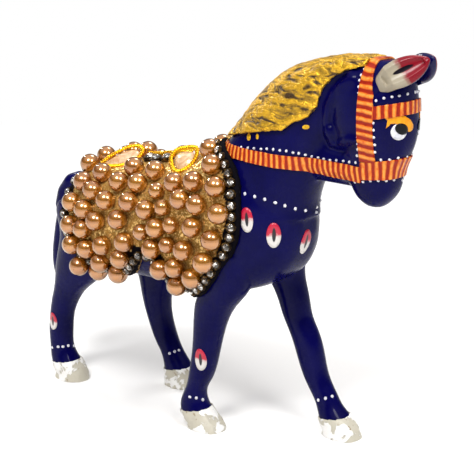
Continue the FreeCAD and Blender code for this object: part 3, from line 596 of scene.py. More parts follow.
def makeEarPaint():
    # Lacquered ear: white hollow, dulled by painted shade, running into a crimson tip, with a black slit,
    # blue round it and behind
    look = earLook
    material, coords = newMaterial("painted_ear")
    place = addNode(material, "ShaderNodeAttribute", attribute_name="earPlace").outputs["Vector"]
    split = addNode(material, "ShaderNodeSeparateXYZ", {0: place})
    along = split.outputs["X"]
    across = split.outputs["Y"]
    facing = split.outputs["Z"]
    wander = addNode(material, "ShaderNodeTexNoise", {
        "Vector": coords, "Scale": scaleFor(look["edgeSize"]), "Detail": 3.0})
    ragged = addNode(material, "ShaderNodeMath", {0: wander, 1: look["edgeWander"]}, operation="MULTIPLY")
    height = addNode(material, "ShaderNodeMath", {0: along, 1: ragged}, operation="ADD")
    red = addNode(material, "ShaderNodeMapRange", {"Value": height, "From Min": 0.50, "From Max": 0.60})
    hollow = addNode(material, "ShaderNodeMix", {
        0: red, 6: look["white"], 7: look["crimson"]}, data_type="RGBA")
    reach = addSlit(material, along, across, look["slitMiddle"], look["slitHalf"])
    slit = addNode(material, "ShaderNodeMapRange", {"Value": reach, "From Min": 1.1, "From Max": 0.85})
    inside = addNode(material, "ShaderNodeMix", {0: slit, 6: hollow, 7: look["slit"]}, data_type="RGBA")
    mottle = addNode(material, "ShaderNodeTexNoise", {
        "Vector": coords, "Scale": scaleFor(look["mottleSize"]), "Detail": 3.0})
    tone = addNode(material, "ShaderNodeMapRange", {"Value": mottle, "From Min": 0.35, "From Max": 0.7})
    blue = addNode(material, "ShaderNodeMix", {
        0: tone, 6: lacquerLook["colours"][0], 7: lacquerLook["colours"][1]}, data_type="RGBA")
    front = addNode(material, "ShaderNodeMapRange", {"Value": facing, "From Min": 0.16, "From Max": 0.24})
    colour = addNode(material, "ShaderNodeMix", {0: front, 6: blue, 7: inside}, data_type="RGBA")
    ripples = addNode(material, "ShaderNodeTexNoise", {
        "Vector": coords, "Scale": scaleFor(look["rippleSize"]), "Detail": 2.0})
    rippled = addNode(material, "ShaderNodeBump", {
        "Height": ripples, "Distance": look["rippleDepth"] * mm, "Strength": 0.7})
    return finishMaterial(material, {
        "Base Color": colour, "Roughness": 0.28, "Specular IOR Level": 0.2, "Normal": rippled,
        "Coat Weight": 0.16, "Coat Roughness": 0.08})


woodLook = {
    "dark": "#a87844",
    "pale": "#d3aa74",
    "grainSize": 0.7,
    "grainStretch": (1.0, 1.0, 0.12),
    "grainDepth": 0.05,
}


def makeBareWood():
    # Unpainted hardwood inside the joints, with straight fine grain
    look = woodLook
    material, coords = newMaterial("bare_hardwood")
    stretched = addNode(material, "ShaderNodeMapping", {"Vector": coords, "Scale": look["grainStretch"]})
    grain = addNode(material, "ShaderNodeTexNoise", {
        "Vector": stretched, "Scale": scaleFor(look["grainSize"]), "Detail": 4.0, "Roughness": 0.6})
    colour = addNode(material, "ShaderNodeMix", {
        0: grain, 6: look["dark"], 7: look["pale"]}, data_type="RGBA")
    grained = addNode(material, "ShaderNodeBump", {
        "Height": grain, "Distance": look["grainDepth"] * mm, "Strength": 0.6})
    return finishMaterial(material, {"Base Color": colour, "Roughness": 0.6, "Normal": grained})


lacquer = makeLacquer()
hoofPaint = makeHoofPaint()
gildedPaste = makeGildedPaste()
glitterCloth = makeGlitterCloth()
pearlLustre = makePearl()
rhinestone = makeRhinestone()
tarnishedCup = makeTarnishedCup()
goldWire = makeGoldWire()
paleStone = makePaleStone()
petalPaint = makePetalPaint()
earPaint = makeEarPaint()
bareWood = makeBareWood()
whiteEnamel = makeEnamelPaint("white_enamel_dots", "#e4e3e6", "#c6c5d0")
browEnamel = makeEnamelPaint("orange_enamel_brow", "#f2a31a", "#e08a0c")
blackEnamel = makeEnamelPaint("black_enamel", "#020206", "#07060c")
goldEnamel = makeEnamelPaint("gold_leaf_dab", "#e8b41e", "#a87a0c", 0.6)
bandPaints = {name: makeBandPaint(name, **values) for name, values in stripes.items()}
print("materials made")

# Mesh helpers
mergeDistance = 0.01  # millimetres


def nothingSelected():
    if bpy.context.mode != "OBJECT":
        bpy.ops.object.mode_set(mode="OBJECT")
    bpy.ops.object.select_all(action="DESELECT")


def makeActive(piece):
    nothingSelected()
    piece.select_set(True)
    bpy.context.view_layer.objects.active = piece


def joinPieces(pieces):
    nothingSelected()
    for piece in pieces:
        piece.select_set(True)
    bpy.context.view_layer.objects.active = pieces[0]
    if len(pieces) > 1:
        bpy.ops.object.join()
    return bpy.context.view_layer.objects.active


def joinAll(name, pieces):
    whole = joinPieces(pieces)
    whole.name = name
    whole.data.name = name
    bpy.ops.object.shade_smooth()
    return whole


def paintWith(piece, material):
    piece.data.materials.clear()
    piece.data.materials.append(material)


def copyOf(name, sources):
    # One new mesh from copies of several, with doubled points merged
    copies = []
    for source in sources:
        copied = source.copy()
        copied.data = source.data.copy()
        copied.parent = None
        for key in list(copied.keys()):
            del copied[key]
        bpy.context.scene.collection.objects.link(copied)
        copied.hide_render = False
        copied.hide_viewport = False
        copies.append(copied)
    piece = joinPieces(copies)
    piece.name = name
    piece.data.name = name
    bpy.ops.object.mode_set(mode="EDIT")
    bpy.ops.mesh.select_all(action="SELECT")
    bpy.ops.mesh.customdata_custom_splitnormals_clear()
    bpy.ops.mesh.remove_doubles(threshold=mergeDistance * mm)
    bpy.ops.object.mode_set(mode="OBJECT")
    return piece


def applyModifier(piece, kind, **settings):
    makeActive(piece)
    modifier = piece.modifiers.new("finish", kind)
    for name, value in settings.items():
        setattr(modifier, name, value)
    bpy.ops.object.modifier_apply(modifier=modifier.name)


def remeshed(piece, voxel, rounds):
    applyModifier(piece, "REMESH", mode="VOXEL", voxel_size=voxel * mm, use_smooth_shade=True)
    if rounds:
        applyModifier(piece, "SMOOTH", factor=0.5, iterations=rounds)
    bpy.ops.object.shade_smooth()


def roughen(piece, size, height):
    lumps = bpy.data.textures.new(piece.name + "_lumps", "CLOUDS")
    lumps.noise_scale = size * mm
    lumps.noise_depth = 2
    applyModifier(piece, "DISPLACE", texture=lumps, strength=height * mm, mid_level=0.5,
                  texture_coords="LOCAL")


def largestPart(piece):
    # Drops the closed pockets that the joints' bores leave inside
    name = piece.name
    makeActive(piece)
    bpy.ops.mesh.separate(type="LOOSE")
    parts = sorted(bpy.context.selected_objects, key=lambda part: len(part.data.vertices))
    keep = parts[-1]
    for part in parts[:-1]:
        bpy.data.objects.remove(part)
    keep.name = name
    return keep


def finishPiece(piece, material, replaced=()):
    paintWith(piece, material)
    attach(piece, "root")
    if replaced:
        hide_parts(*replaced)


# The lacquered body: one unbroken coat over the joined wood, with the carver's soft blends. Each piece's
# values are in millimetres, and smoothing is a number of rounds.
body = {
    "voxel": 0.56,
    "smoothing": 6,
    "woods": ["trunk", "neck_and_head", "front_right_leg", "front_left_leg", "hind_right_leg",
              "hind_left_leg"],
}

# The cheek's rounded rear edge, by its corners in the photograph, from the poll down and forward to the
# throat. It rises before the line and dips a little behind it.
jowl = {
    "line": [(346, 76), (338, 82), (330, 91), (323.5, 106), (322, 121), (324, 135), (330, 147), (340, 150),
             (350, 145)],
    "rear": 36.0,
    "bottom": 84.0,
    "rise": 1.1,
    "riseAt": 5.5,
    "riseBreadth": 4.5,
    "dip": 0.5,
    "dipAt": -2.5,
    "dipBreadth": 2.5,
}


def fromJowl(across, down):
    # How far a point of the photograph lies in front of the line, or behind it when less than zero
    nearest = None
    for (x, y), (nextX, nextY) in zip(jowl["line"], jowl["line"][1:]):
        runX, runY = nextX - x, nextY - y
        share = ((across - x) * runX + (down - y) * runY) / (runX * runX + runY * runY)
        share = min(max(share, 0), 1)
        offX, offY = across - x - runX * share, down - y - runY * share
        distance = math.hypot(offX, offY)
        if nearest is None or distance < abs(nearest):
            nearest = math.copysign(distance, runY * offX - runX * offY)
    return nearest


def shapeJowl(piece):
    moves = []
    for vertex in piece.data.vertices:
        place = vertex.co
        if place.x < jowl["rear"] * mm or place.z < jowl["bottom"] * mm:
            continue
        across, down = inPhoto(Vector((place.x, -abs(place.y), place.z)))
        distance = fromJowl(across, down)
        rise = jowl["rise"] * math.exp(-((distance - jowl["riseAt"]) / jowl["riseBreadth"]) ** 2)
        dip = jowl["dip"] * math.exp(-((distance - jowl["dipAt"]) / jowl["dipBreadth"]) ** 2)
        moves.append((vertex, vertex.normal * abs(vertex.normal.y) * (rise - dip) * mm))
    for vertex, move in moves:
        vertex.co += move


skin = copyOf("lacquered_body", [nodes[name] for name in body["woods"]])
remeshed(skin, body["voxel"], body["smoothing"])
skin = largestPart(skin)
shapeJowl(skin)
finishPiece(skin, lacquer, body["woods"])
skinTree = BVHTree.FromObject(skin, bpy.context.evaluated_depsgraph_get())
print("body made", len(skin.data.polygons), "faces")


def onSkin(across, down):
    # The point of the body that a point of the photograph shows
    start, direction = throughPixel(across, down)
    place, normal, index, distance = skinTree.ray_cast(start, direction)
    return place, normal


# Harness bands, cut from the body's own surface and raised. A rise is a slope along X.
bands = {
    "relief": 0.55,
    "rounding": 0.18,
    "sharpAngle": 55,
    "overlap": 0.2,
    "strapLift": 0.3,
    "reinRear": 7.9,
    "reinBottom": 86.6,
    "reinBottomRise": -0.038,
    "reinTop": 89.5,
    "reinTopRise": -0.012,
    "cheekRear": 56.0,
    "cheekFront": 60.7,
    "crownHeight": 106.0,
    "crownLean": 0.17,
    "noseBottom": 85.4,
    "noseBottomRise": 0.10,
    "noseTop": 90.2,
    "noseTopRise": 0.17,
    "browBottom": 102.5,
    "browTop": 106.0,
    "browRise": 0.2,
}


def makeBand(name, node, cuts, paint):
    # The body's surface on the inner side of each cut, a point and an outward direction, then raised
    patch = copyOf(name, [skin])
    makeActive(patch)
    bpy.ops.object.mode_set(mode="EDIT")
    for point, outwards in cuts:
        bpy.ops.mesh.select_all(action="SELECT")
        bpy.ops.mesh.bisect(plane_co=Vector(point) * mm, plane_no=Vector(outwards), clear_outer=True)
    bpy.ops.object.mode_set(mode="OBJECT")
    applyModifier(patch, "SOLIDIFY", thickness=bands["relief"] * mm, offset=1.0, use_quality_normals=True)
    applyModifier(patch, "BEVEL", width=bands["rounding"] * mm, segments=2, limit_method="ANGLE",
                  angle_limit=math.radians(bands["sharpAngle"]))
    makeActive(patch)
    bpy.ops.object.shade_smooth()
    finishPiece(patch, bandPaints[paint], [node])


makeBand("painted_rein", "rein_band", [
    ((0, 0, bands["reinBottom"]), (bands["reinBottomRise"], 0, -1)),
    ((0, 0, bands["reinTop"]), (-bands["reinTopRise"], 0, 1)),
    ((bands["reinRear"], 0, 0), (-1, 0, 0)),
    ((bands["cheekRear"] + bands["overlap"], 0, 0), (1, 0, 0)),
], "striped_rein_paint")
makeBand("painted_noseband", "noseband", [
    ((bands["cheekRear"], 0, bands["noseBottom"]), (bands["noseBottomRise"], 0, -1)),
    ((bands["cheekRear"], 0, bands["noseTop"]), (-bands["noseTopRise"], 0, 1)),
    ((bands["cheekRear"], 0, 0), (-1, 0, 0)),
], "striped_nose_paint")
makeBand("painted_cheek_strap", "cheek_and_crown_strap", [
    ((bands["cheekRear"], 0, bands["noseTop"] + bands["strapLift"]), (0, 0, -1)),
    ((bands["cheekRear"], 0, 0), (-1, 0, 0)),
    ((bands["cheekFront"], 0, 0), (1, 0, 0)),
    ((bands["cheekFront"], 0, bands["crownHeight"]), (1, 0, bands["crownLean"])),
], "striped_cheek_paint")
makeBand("painted_brow_band", "brow_band", [
    ((bands["cheekFront"], 0, bands["browBottom"]), (bands["browRise"], 0, -1)),
    ((bands["cheekFront"], 0, bands["browTop"]), (-bands["browRise"], 0, 1)),
    ((bands["cheekFront"] - bands["overlap"], 0, 0), (-1, 0, 0)),
], "striped_brow_paint")
print("harness bands made")


# Painted dots: blobs of enamel that stand up from the surface. Wander is in the photograph's pixels.
dots = {"size": 1.02, "smallSize": 0.82, "height": 0.4, "stretch": 0.12, "wander": 0.4, "middleGap": 2.0}


def makeDot(place, normal, size):
    bpy.ops.mesh.primitive_uv_sphere_add(segments=10, ring_count=6, radius=size * mm / 2)
    dot = bpy.context.object
    longer = 1 + random.uniform(-dots["stretch"], dots["stretch"])
    flat = Matrix.Diagonal((longer, 1 / longer, dots["height"] / size * 2, 1))
    turn = normal.to_track_quat("Z", "Y").to_matrix().to_4x4()
    dot.data.transform(Matrix.Translation(place) @ turn @ flat)
    return dot


def alongLine(points, count):
    # Evenly spaced points on a line of straight runs
    runs = [math.dist(before, after) for before, after in zip(points, points[1:])]
    whole = sum(runs)
    spots = []
    for index in range(count):
        left = whole * index / max(count - 1, 1)
        for (x, y), (nextX, nextY), run in zip(points, points[1:], runs):
            if left <= run + 1e-6:
                share = left / run
                spots.append((x + (nextX - x) * share, y + (nextY - y) * share))
                break
            left -= run
    return spots


def dotRow(points, count, size, bothSides):
    # A row seen in the photograph, and on the far side the same row short of the middle
    made = []
    for across, down in alongLine(points, count):
        wanderAcross = random.uniform(-dots["wander"], dots["wander"])
        wanderDown = random.uniform(-dots["wander"], dots["wander"])
        place, normal = onSkin(across + wanderAcross, down + wanderDown)
        if place is None:
            continue
        made.append(makeDot(place, normal, size))
        if bothSides and place.y < -dots["middleGap"] * mm:
            farPlace = Vector((place.x, -place.y, place.z))
            farNormal = Vector((normal.x, -normal.y, normal.z))
            made.append(makeDot(farPlace, farNormal, size))
    return made


# Rows by their corners in the photograph, with the number of dots in each
bridleRows = {
    "overRein": ([(235, 146.7), (285, 150.6), (306, 155.2), (330, 160.2), (356, 162.5)], 20),
    "behindCheek": ([(368, 64), (359.5, 78), (358.6, 100), (357.2, 156)], 16),
    "beforeCheek": ([(376, 101), (372.8, 118), (375, 152)], 8),
    "overBrow": ([(384, 98), (401.7, 95.4), (415, 92)], 5),
    "underBrow": ([(371, 115), (381, 116.5)], 2),
    "overNose": ([(372, 160.5), (388, 160), (406.5, 156.5)], 5),
    "underNose": ([(355, 182), (374, 180.8), (402, 180)], 7),
}
chestRows = {
    "acrossChest": ([(244.7, 194.2), (258.3, 196.9), (292.3, 208), (316, 212.3)], 8),
}
fetlockRows = {
    "frontRight": ([(189.5, 397.3), (202.7, 399.3)], 3),
    "hindLeft": ([(169.4, 353), (183.9, 348.6)], 4),
    "hindRight": ([(52.5, 347.1), (73.7, 345.6)], 5),
    "frontLeft": ([(311.7, 401.6), (332.5, 396.3)], 4),
}
for name, rows, size, bothSides in [
    ("bridle_dots", bridleRows, dots["smallSize"], True),
    ("chest_dots", chestRows, dots["size"], True),
    ("fetlock_dots", fetlockRows, dots["size"], False),
]:
    group = []
    for corners, count in rows.values():
        group += dotRow(corners, count, size, bothSides)
    finishPiece(joinAll(name, group), whiteEnamel)
print("painted dots made")


# Painted shapes: thin flat dabs laid on the surface
dabs = {"startAbove": 6.0, "reach": 12.0, "clear": 0.05, "thickness": 0.16, "innerRing": 0.12}


def layOnSkin(piece, away, thickness):
    # Pushes each point of a flat piece straight back onto the body, then gives it a paint's thickness
    for vertex in piece.data.vertices:
        start = vertex.co + away * (dabs["startAbove"] * mm)
        place, normal, index, distance = skinTree.ray_cast(start, -away)
        if place is not None and distance < dabs["reach"] * mm:
            vertex.co = place + away * (dabs["clear"] * mm)
    applyModifier(piece, "SOLIDIFY", thickness=thickness * mm, offset=0.4)
    makeActive(piece)
    bpy.ops.object.shade_smooth()


def fillUv(piece):
    # The flat piece's own square, from 0 to 1 each way
    layer = piece.data.uv_layers.active or piece.data.uv_layers.new(name="UVMap")
    for loop in piece.data.loops:
        point = piece.data.vertices[loop.vertex_index].co
        layer.data[loop.index].uv = (point.x + 0.5, point.y + 0.5)


def makePetal(name, material, across, down, width, height, lean):
    # An oval dab: its middle in the photograph, its size in millimetres and its lean in degrees
    place, normal = onSkin(across, down)
    bpy.ops.mesh.primitive_circle_add(vertices=32, radius=0.5, fill_type="NGON", calc_uvs=True)
    petal = bpy.context.object
    petal.name = name
    bpy.ops.object.mode_set(mode="EDIT")
    bpy.ops.mesh.inset(thickness=dabs["innerRing"])
    bpy.ops.mesh.inset(thickness=dabs["innerRing"])
    bpy.ops.mesh.poke()
    bpy.ops.object.mode_set(mode="OBJECT")
    side = Vector((0, 0, 1)).cross(normal).normalized()
    rise = normal.cross(side).normalized()
    turn = Matrix((side, rise, normal)).transposed().to_4x4() @ Matrix.Rotation(math.radians(lean), 4, "Z")
    size = Matrix.Diagonal((width * mm, height * mm, 1, 1))
    fillUv(petal)
    petal.data.transform(Matrix.Translation(place) @ turn @ size)
    layOnSkin(petal, normal, dabs["thickness"])
    paintWith(petal, material)
    return petal


def otherSide(piece, name):
    # The same painted shape on the horse's left side
    mirror = copyOf(name, [piece])
    mirror.data.transform(Matrix.Diagonal((1, -1, 1, 1)))
    makeActive(mirror)
    bpy.ops.object.mode_set(mode="EDIT")
    bpy.ops.mesh.select_all(action="SELECT")
    bpy.ops.mesh.normals_make_consistent(inside=False)
    bpy.ops.object.mode_set(mode="OBJECT")
    return mirror


# Each petal's middle in the photograph, its width, height and lean
chestPetals = {
    "rearPetal": (246.6, 220, 3.9, 7.2, 6),
    "sidePetal": (273.7, 235.4, 4.2, 7.4, 0),
    "frontPetal": (305.6, 242, 4.2, 7.6, -6),
}
legPetals = {
    "frontLegPetal": (200.4, 359.7, 3.9, 7.2, 0),
    "hindLegPetal": (53.0, 321, 3.6, 6.0, 0),
}
chestPieces = []
for name, shape in chestPetals.items():
    petal = makePetal(name, petalPaint, *shape)
    chestPieces.append(petal)
    if name != "frontPetal":  # it sits in the middle of the chest and has no twin
        chestPieces.append(otherSide(petal, name + "Left"))
finishPiece(joinAll("chest_petals", chestPieces), petalPaint)
legPieces = [makePetal(name, petalPaint, *shape) for name, shape in legPetals.items()]
finishPiece(joinAll("leg_petals", legPieces), petalPaint)

eye = {"across": 399.2, "down": 131.8, "width": 4.5, "height": 4.5, "lean": 0}
pupil = {"across": 402.0, "down": 129.0, "width": 4.0, "height": 2.9, "lean": -25}
pupilLift = Vector((0.35, -0.93, 0)) * (0.12 * mm)
eyeWhite = makePetal("eyeWhite", whiteEnamel, **eye)
eyeWhites = joinAll("eye_whites", [eyeWhite, otherSide(eyeWhite, "eyeWhiteLeft")])
finishPiece(eyeWhites, whiteEnamel)
eyePupil = makePetal("eyePupil", blackEnamel, **pupil)
for vertex in eyePupil.data.vertices:
    vertex.co += pupilLift
eyePupils = joinAll("eye_pupils", [eyePupil, otherSide(eyePupil, "eyePupilLeft")])
finishPiece(eyePupils, blackEnamel)

# The brow's middle line in the photograph and its width there. The far brow ends two points sooner.
brow = {
    "middle": [(385.5, 121), (390, 119), (396, 118.8), (402, 120.4), (407.5, 124), (412, 129.5)],
    "widths": [3.8, 2.6, 2.6, 2.7, 2.7, 2.3],
    "farShorter": 2,
    "steps": 3,
    "thickness": 0.22,
    "forkLength": 0.9,
    "forkDepth": 0.55,
    "bluntLength": 0.6,
    "bluntDepth": 1.2,
}


def makeBrow(name, columns):
    # A broad stroke along the brow, forked at its rear end
    places = [onSkin(across, down) for across, down in brow["middle"][:columns + 1]]
    normal = sum((facing for place, facing in places), Vector()).normalized()
    bpy.ops.mesh.primitive_grid_add(x_subdivisions=columns * brow["steps"], y_subdivisions=4, size=1)
    stroke = bpy.context.object
    stroke.name = name
    for vertex in stroke.data.vertices:
        position = (vertex.co.x + 0.5) * columns
        index = min(int(position), columns - 1)
        share = position - index
        before = places[max(index - 1, 0)][0]
        first = places[index][0]
        second = places[index + 1][0]
        after = places[min(index + 2, columns)][0]
        centre = first.lerp(second, share)
        along = (second - first).lerp(after - before, 0.5).normalized()
        sideways = normal.cross(along).normalized()
        width = brow["widths"][index] * (1 - share) + brow["widths"][index + 1] * share
        slide = 0.0
        if position < brow["forkLength"]:
            notch = abs(vertex.co.y) * 4 - 1
            slide -= (brow["forkLength"] - position) * notch * brow["forkDepth"]
        if position > columns - brow["bluntLength"]:
            corner = (vertex.co.y * 2) ** 2
            slide -= (position - columns + brow["bluntLength"]) * corner * brow["bluntDepth"]
        vertex.co = centre + sideways * (vertex.co.y * width * mm) + along * (slide * mm)
    layOnSkin(stroke, normal, brow["thickness"])
    return stroke


browColumns = len(brow["middle"]) - 1
nearBrow = makeBrow("browStroke", browColumns)
shortBrow = makeBrow("browStrokeShort", browColumns - brow["farShorter"])
farBrow = otherSide(shortBrow, "browStrokeLeft")
bpy.data.objects.remove(shortBrow)
finishPiece(joinAll("eyebrows", [nearBrow, farBrow]), browEnamel)
print("face and petals painted")


# Tail: the carved tail with the thick root that it springs from. The root is X, Z and radius.
tail = {
    "voxel": 0.4,
    "smoothing": 8,
    "steps": 8,
    "root": [(-57.5, 65.6, 3.0), (-60.5, 66.0, 3.3), (-63.6, 64.6, 3.6), (-66.2, 61.0, 3.9),
             (-67.6, 56.5, 3.9)],
}
knobs = [copyOf("lacquered_tail", [nodes["tail"]])]
for before, after in zip(tail["root"], tail["root"][1:]):
    for step in range(tail["steps"]):
        share = step / tail["steps"]
        x, z, radius = [first + (second - first) * share for first, second in zip(before, after)]
        bpy.ops.mesh.primitive_uv_sphere_add(segments=24, ring_count=16, radius=radius * mm,
                                             location=(x * mm, 0, z * mm))
        knobs.append(bpy.context.object)
tailSkin = joinAll("lacquered_tail", knobs)
remeshed(tailSkin, tail["voxel"], tail["smoothing"])
finishPiece(tailSkin, lacquer, ["tail"])
print("tail made")

# Ears: the carved leaves, softened, moved out to where the photograph shows them, with their own map for
# the painted hollow. Root, tip, face and seat are the left ear's.
ears = {
    "root": (61.9, 7.2, 109.9),
    "tip": (72.9, 1.3, 118.8),
    "face": (0.30, 0.88, 0.30),
    "width": 8.4,
    "seat": (62.1, 7.5, 112.0),
    "narrowing": 0.93,
    "evening": 10,
    "closing": 0.2,
    "lift": 0.6,
    "sunkShare": 0.22,
    "sunkDepth": 2.4,
    "voxel": 0.25,
    "smoothing": 3,
}


def evenedOut(piece, values, rounds):
    # One number for each point of a piece, averaged with its neighbours' numbers again and again
    for turn in range(rounds):
        totals = list(values)
        counts = [1] * len(values)
        for edge in piece.data.edges:
            first, second = edge.vertices
            totals[first] += values[second]
            totals[second] += values[first]
            counts[first] += 1
            counts[second] += 1
        values = [total / count for total, count in zip(totals, counts)]
    return values


def makeEar(name, node, side, replaced):
    ear = copyOf(name, [nodes[node], nodes["ear_pegs"]])
    remeshed(ear, ears["voxel"], ears["smoothing"])
    ear = largestPart(ear)
    seat, root, tip, face = [Vector((x, side * y, z)) for x, y, z in (
        ears["seat"], ears["root"], ears["tip"], ears["face"])]
    seat, root, tip = seat * mm, root * mm, tip * mm
    axis = (tip - root).normalized()
    length = (tip - root).length
    face = (face - axis * face.dot(axis)).normalized()
    across = axis.cross(face).normalized() * -side
    facing = evenedOut(ear, [vertex.normal.dot(face) for vertex in ear.data.vertices], ears["evening"])
    place = ear.data.attributes.new("earPlace", "FLOAT_VECTOR", "POINT")
    rooted = seat - root + face * ears["lift"] * mm
    inwards = Vector((0, -side * ears["closing"] * mm, 0))
    for vertex in ear.data.vertices:
        offset = vertex.co - root
        along = offset.dot(axis) / length
        wide = offset.dot(across) / (ears["width"] * mm / 2)
        place.data[vertex.index].vector = (along, wide, facing[vertex.index])
        narrower = across * offset.dot(across) * (ears["narrowing"] - 1)
        sunk = max(ears["sunkShare"] - along, 0) / ears["sunkShare"]
        vertex.co += (rooted * max(1 - along, 0) + inwards * max(along, 0) + narrower
                      - face * sunk * ears["sunkDepth"] * mm)
    finishPiece(ear, earPaint, replaced)


makeEar("painted_right_ear", "right_ear", -1, ["right_ear", "ear_pegs"])
makeEar("painted_left_ear", "left_ear", 1, ["left_ear"])
print("ears made")


# Mane: rough gilded paste over the crest. Its hem runs between two points of the photograph.
mane = {
    "voxel": 0.4,
    "smoothing": 2,
    "lumpSize": 2.2,
    "lumpHeight": 0.7,
    "hem": [(233, 134.5), (275, 130.5)],
}
strayDabs = {
    "dabOne": (249, 137, 1.5, 2.2, 30),
    "dabTwo": (257.5, 136.5, 1.0, 1.6, 20),
    "dabThree": (306, 127, 2.2, 1.2, 10),
}


def trimBelow(piece, hem):
    # Cuts a piece along the line of sight through the hem and keeps the upper part
    start, first = throughPixel(*hem[0])
    second = throughPixel(*hem[1])[1]
    outwards = first.cross(second).normalized()
    makeActive(piece)
    bpy.ops.object.mode_set(mode="EDIT")
    bpy.ops.mesh.select_all(action="SELECT")
    bpy.ops.mesh.bisect(plane_co=start, plane_no=outwards, use_fill=True, clear_outer=True)
    bpy.ops.object.mode_set(mode="OBJECT")


maneCoat = copyOf("gilded_mane", [nodes["mane"]])
trimBelow(maneCoat, mane["hem"])
remeshed(maneCoat, mane["voxel"], mane["smoothing"])
roughen(maneCoat, mane["lumpSize"], mane["lumpHeight"])
finishPiece(maneCoat, gildedPaste, ["mane"])
dabPieces = [makePetal(name, goldEnamel, *shape) for name, shape in strayDabs.items()]
finishPiece(joinAll("stray_gold_dabs", dabPieces), goldEnamel)
print("mane made")


# Hoof coats: thick uneven paint
hoofs = {"voxel": 0.35, "smoothing": 3, "lumpSize": 2.6, "lumpHeight": 0.5}
for corner in ("front_right", "front_left", "hind_right", "hind_left"):
    node = corner + "_hoof_coat"
    coat = copyOf(corner + "_white_hoof", [nodes[node]])
    remeshed(coat, hoofs["voxel"], hoofs["smoothing"])
    roughen(coat, hoofs["lumpSize"], hoofs["lumpHeight"])
    for vertex in coat.data.vertices:
        vertex.co.z = max(vertex.co.z, 0.0)
    finishPiece(coat, hoofPaint, [node])
print("hoofs made")


# Saddle cloth: a thin wadded cloth glued over the back, puckered a little by its beads. A dark band of
# painted shade lies outside the chain of stones, seen from the heart of the trunk.
cloth = {
    "voxel": 0.5,
    "smoothing": 4,
    "puckerSize": 3.0,
    "puckerHeight": 0.45,
    "edgeShadeWidth": 2.6,
    "edgeShadeReach": 0.9,
    "heart": (-15, 0, 70),
}


def markEdgeShade(piece):
    # 1 on the band of painted shade outside the chain of stones, 0 on the rest of the cloth
    cups = [vertex.co for end in ("left", "right") for vertex in nodes["edge_cups_" + end].data.vertices]
    tree = KDTree(len(cups))
    for index, place in enumerate(cups):
        tree.insert(place, index)
    tree.balance()
    heart = Vector(cloth["heart"]) * mm
    edgeShade = piece.data.attributes.new("edgeShade", "FLOAT", "POINT")
    for vertex in piece.data.vertices:
        cup, index, distance = tree.find(vertex.co)
        outside = (vertex.co - heart).length > (cup - heart).length - cloth["edgeShadeReach"] * mm
        edgeShade.data[vertex.index].value = 1.0 if outside and distance < cloth["edgeShadeWidth"] * mm else 0.0


saddleCloth = copyOf("beaded_saddle_cloth", [nodes["saddle_cloth"]])
remeshed(saddleCloth, cloth["voxel"], cloth["smoothing"])
roughen(saddleCloth, cloth["puckerSize"], cloth["puckerHeight"])
markEdgeShade(saddleCloth)
finishPiece(saddleCloth, glitterCloth, ["saddle_cloth"])
print("cloth made")


# Twisted gold wire: one slanted lay after another along a line
rimTwist = {"lay": 0.78, "thickness": 1.0, "stretch": 1.9, "slant": 60.0, "lift": -0.1}
cordTwist = {"lay": 0.78, "thickness": 0.62, "stretch": 1.9, "slant": 38.0, "lift": 0.05}
rimLine = {"sectors": 36, "sameWay": 0.98, "depth": 0.05}
cordLine = {"points": 8, "reach": 1.2, "facing": (0, -0.3, 1)}


def evenly(points, step, closed):
    # Points a step apart along a line, with the direction there
    ring = points + points[:1] if closed else points
    lengths = [(after - before).length for before, after in zip(ring, ring[1:])]
    whole = sum(lengths)
    count = max(3, round(whole / step))
    spots = []
    for index in range(count):
        left = whole * index / (count if closed else count - 1)
        for before, after, length in zip(ring, ring[1:], lengths):
            if left <= length or after is ring[-1]:
                spots.append((before.lerp(after, min(left / length, 1.0)), (after - before).normalized()))
                break
            left -= length
    return spots


def makeTwist(name, values, points, normal, closed, replaced=()):
    slant = Matrix.Rotation(math.radians(values["slant"]), 4, "Z")
    stretched = Matrix.Diagonal((values["stretch"], 1, 1, 1))
    lays = []
    for place, along in evenly(points, values["lay"] * mm, closed):
        sideways = normal.cross(along).normalized()
        upwards = along.cross(sideways).normalized()
        bpy.ops.mesh.primitive_uv_sphere_add(segments=8, ring_count=6, radius=values["thickness"] * mm / 2)
        lay = bpy.context.object
        moved = Matrix.Translation(place + upwards * values["lift"] * mm)
        turned = Matrix((along, sideways, upwards)).transposed().to_4x4()
        lay.data.transform(moved @ turned @ slant @ stretched)
        lays.append(lay)
    finishPiece(joinAll(name, lays), goldWire, replaced)


def flatTop(node):
    # The direction of a node's largest flat face and the points round its middle line
    mesh = node.data
    areas = {}
    for polygon in mesh.polygons:
        key = tuple(round(value, 1) for value in polygon.normal)
        areas[key] = areas.get(key, 0.0) + polygon.area
    normal = Vector(max(areas, key=areas.get)).normalized()
    top = [polygon for polygon in mesh.polygons if polygon.normal.dot(normal) > rimLine["sameWay"]]
    normal = sum((polygon.normal * polygon.area for polygon in top), Vector()).normalized()
    high = max(vertex.co.dot(normal) for vertex in mesh.vertices)
    rim = [vertex.co for vertex in mesh.vertices if vertex.co.dot(normal) > high - rimLine["depth"] * mm]
    centre = sum(rim, Vector()) / len(rim)
    along = normal.orthogonal().normalized()
    across = normal.cross(along)
    sectors = rimLine["sectors"]
    reach = [[] for sector in range(sectors)]
    for point in rim:
        offset = point - centre
        angle = math.atan2(offset.dot(across), offset.dot(along)) % (2 * math.pi)
        reach[int(angle / (2 * math.pi) * sectors) % sectors].append(offset.length)
    points = []
    for sector, lengths in enumerate(reach):
        if lengths:
            angle = (sector + 0.5) * 2 * math.pi / sectors
            radius = (max(lengths) + min(lengths)) / 2
            points.append(centre + (along * math.cos(angle) + across * math.sin(angle)) * radius)
    return normal, points


